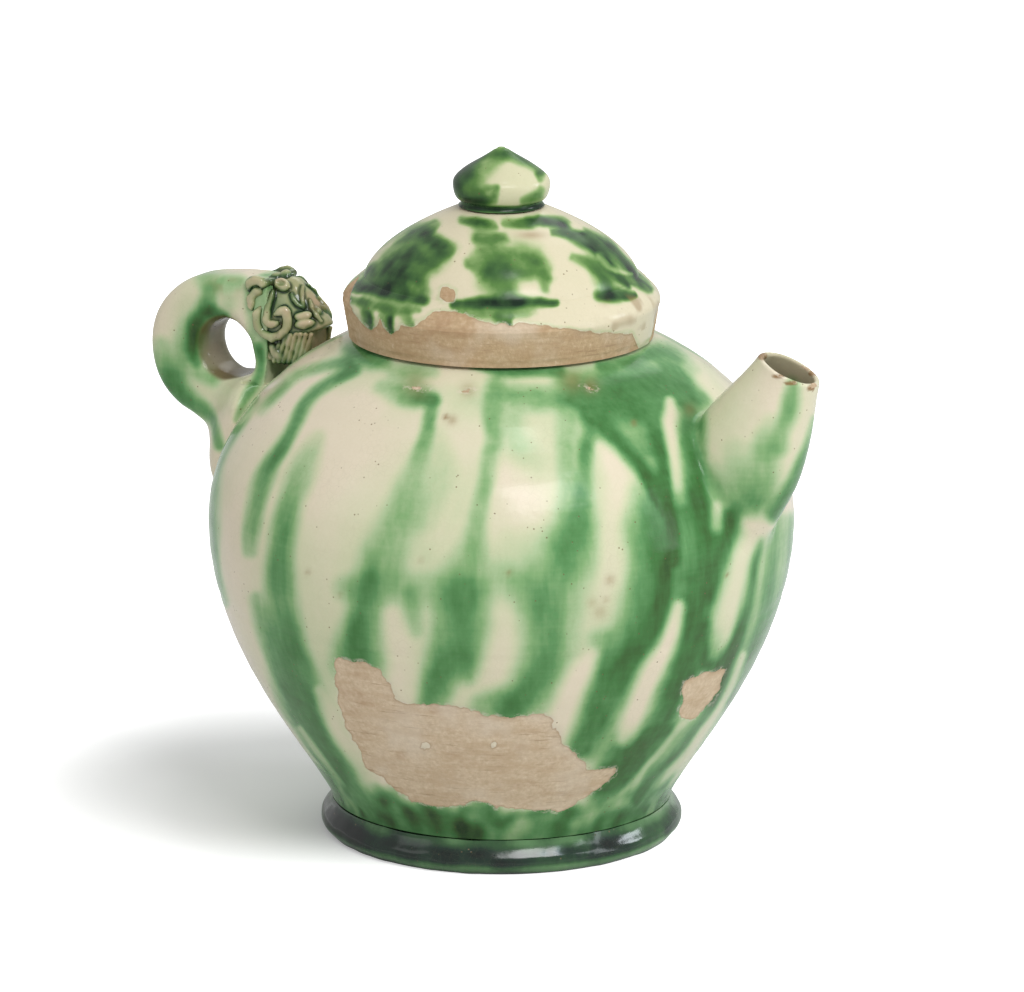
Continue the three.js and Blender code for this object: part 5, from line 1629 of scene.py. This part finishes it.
def make_floor():
    mesh = bpy.data.meshes.new("floor")
    corners = [(a * FLOOR_HALF, b * FLOOR_HALF, 0) for a, b in ((-1, -1), (1, -1), (1, 1), (-1, 1))]
    mesh.from_pydata(corners, [], [(0, 1, 2, 3)])
    s = Shader("studio_floor")
    s.tree.nodes.remove(s.surface)
    card = s.node("ShaderNodeBsdfDiffuse", {"Color": (FLOOR_GREY, FLOOR_GREY, FLOOR_GREY, 1)})
    aside = s.node("ShaderNodeVectorMath", {0: s.place, 1: GLOW_MIDDLE}, operation="SUBTRACT")
    middle = s.node("ShaderNodeVectorMath", {0: aside.outputs[0]}, operation="LENGTH")
    distance = s.between(middle.outputs["Value"], GLOW_START, GLOW_END)
    strength = s.times(s.seen(), s.maths("MULTIPLY_ADD", distance, 1 - GLOW_LEAST, GLOW_LEAST))
    glow = s.node("ShaderNodeEmission", {"Color": (1, 1, 1, 1), "Strength": strength})
    both = s.node("ShaderNodeAddShader", {0: card.outputs[0], 1: glow.outputs[0]})
    s.plug(both.outputs[0], s.tree.nodes["Material Output"].inputs["Surface"])
    mesh.materials.append(s.material)
    floor = link("floor", mesh)


def aim(thing, way, target, far):
    """Places a lamp or camera so many metres from a target, looking at it."""
    thing.location = Vector((0, 0, target)) + far * way
    thing.rotation_euler = way.to_track_quat("Z", "Y").to_euler()


def lamp(name, azimuth, elevation, far, wide, tall, power, color=(1, 1, 1)):
    """A soft box at an angle round the pot from the front, aimed at the belly."""
    data = bpy.data.lights.new(name, "AREA")
    data.shape = "RECTANGLE"
    data.size = wide
    data.size_y = tall
    data.energy = power
    data.color = color
    a = np.radians(FRONT + azimuth)
    e = np.radians(elevation)
    aim(link(name, data), Vector((np.cos(a) * np.cos(e), np.sin(a) * np.cos(e), np.sin(e))), LAMP_AIM, far)


def make_world():
    world = bpy.data.worlds.new("studio")
    bpy.context.scene.world = world
    world.use_nodes = True
    s = Nodes(world.node_tree)
    back = s.tree.nodes["Background"]
    back.inputs["Color"].default_value = (1, 1, 1, 1)
    s.plug(s.choose(s.seen(), WORLD_LIGHT, WORLD_SEEN), back.inputs["Strength"])


def make_camera():
    width = 1024.0
    data = bpy.data.cameras.new("camera")
    data.sensor_fit = "HORIZONTAL"
    data.sensor_width = 36.0
    data.lens = DRAWING_SCALE * data.sensor_width / width
    data.shift_x = (width / 2 - DRAWING_CENTRE[0]) / width
    data.clip_end = 20.0
    camera = link("camera", data)
    aim(camera, Vector(AHEAD.tolist()), DRAWING_AIM * MM, DRAWING_FAR * MM)
    bpy.context.scene.camera = camera


# How bright the white world is as a light, and as the camera sees it
WORLD_LIGHT = 0.56
WORLD_SEEN = 1.0
# The height in metres that the lamps aim at
LAMP_AIM = 0.085

make_floor()
make_world()
lamp("key", 20, 47, 1.2, 0.5, 0.38, 6.0)
lamp("blue", 40, 46, 1.2, 0.14, 0.34, 0.8, (0.75, 0.88, 1.0))
lamp("side", 66, 18, 1.3, 0.22, 0.8, 2.2, (0.9, 0.95, 1.0))
lamp("spout_side", 98, 26, 1.3, 0.24, 0.3, 2.4, (0.88, 0.94, 1.0))
lamp("left", -65, 31, 1.3, 0.45, 0.5, 0.6)
lamp("top", 30, 78, 1.2, 0.16, 0.16, 0.9)
lamp("rear", 165, 45, 1.3, 0.6, 0.6, 1.8)
make_camera()
bpy.context.scene.view_settings.view_transform = "Standard"
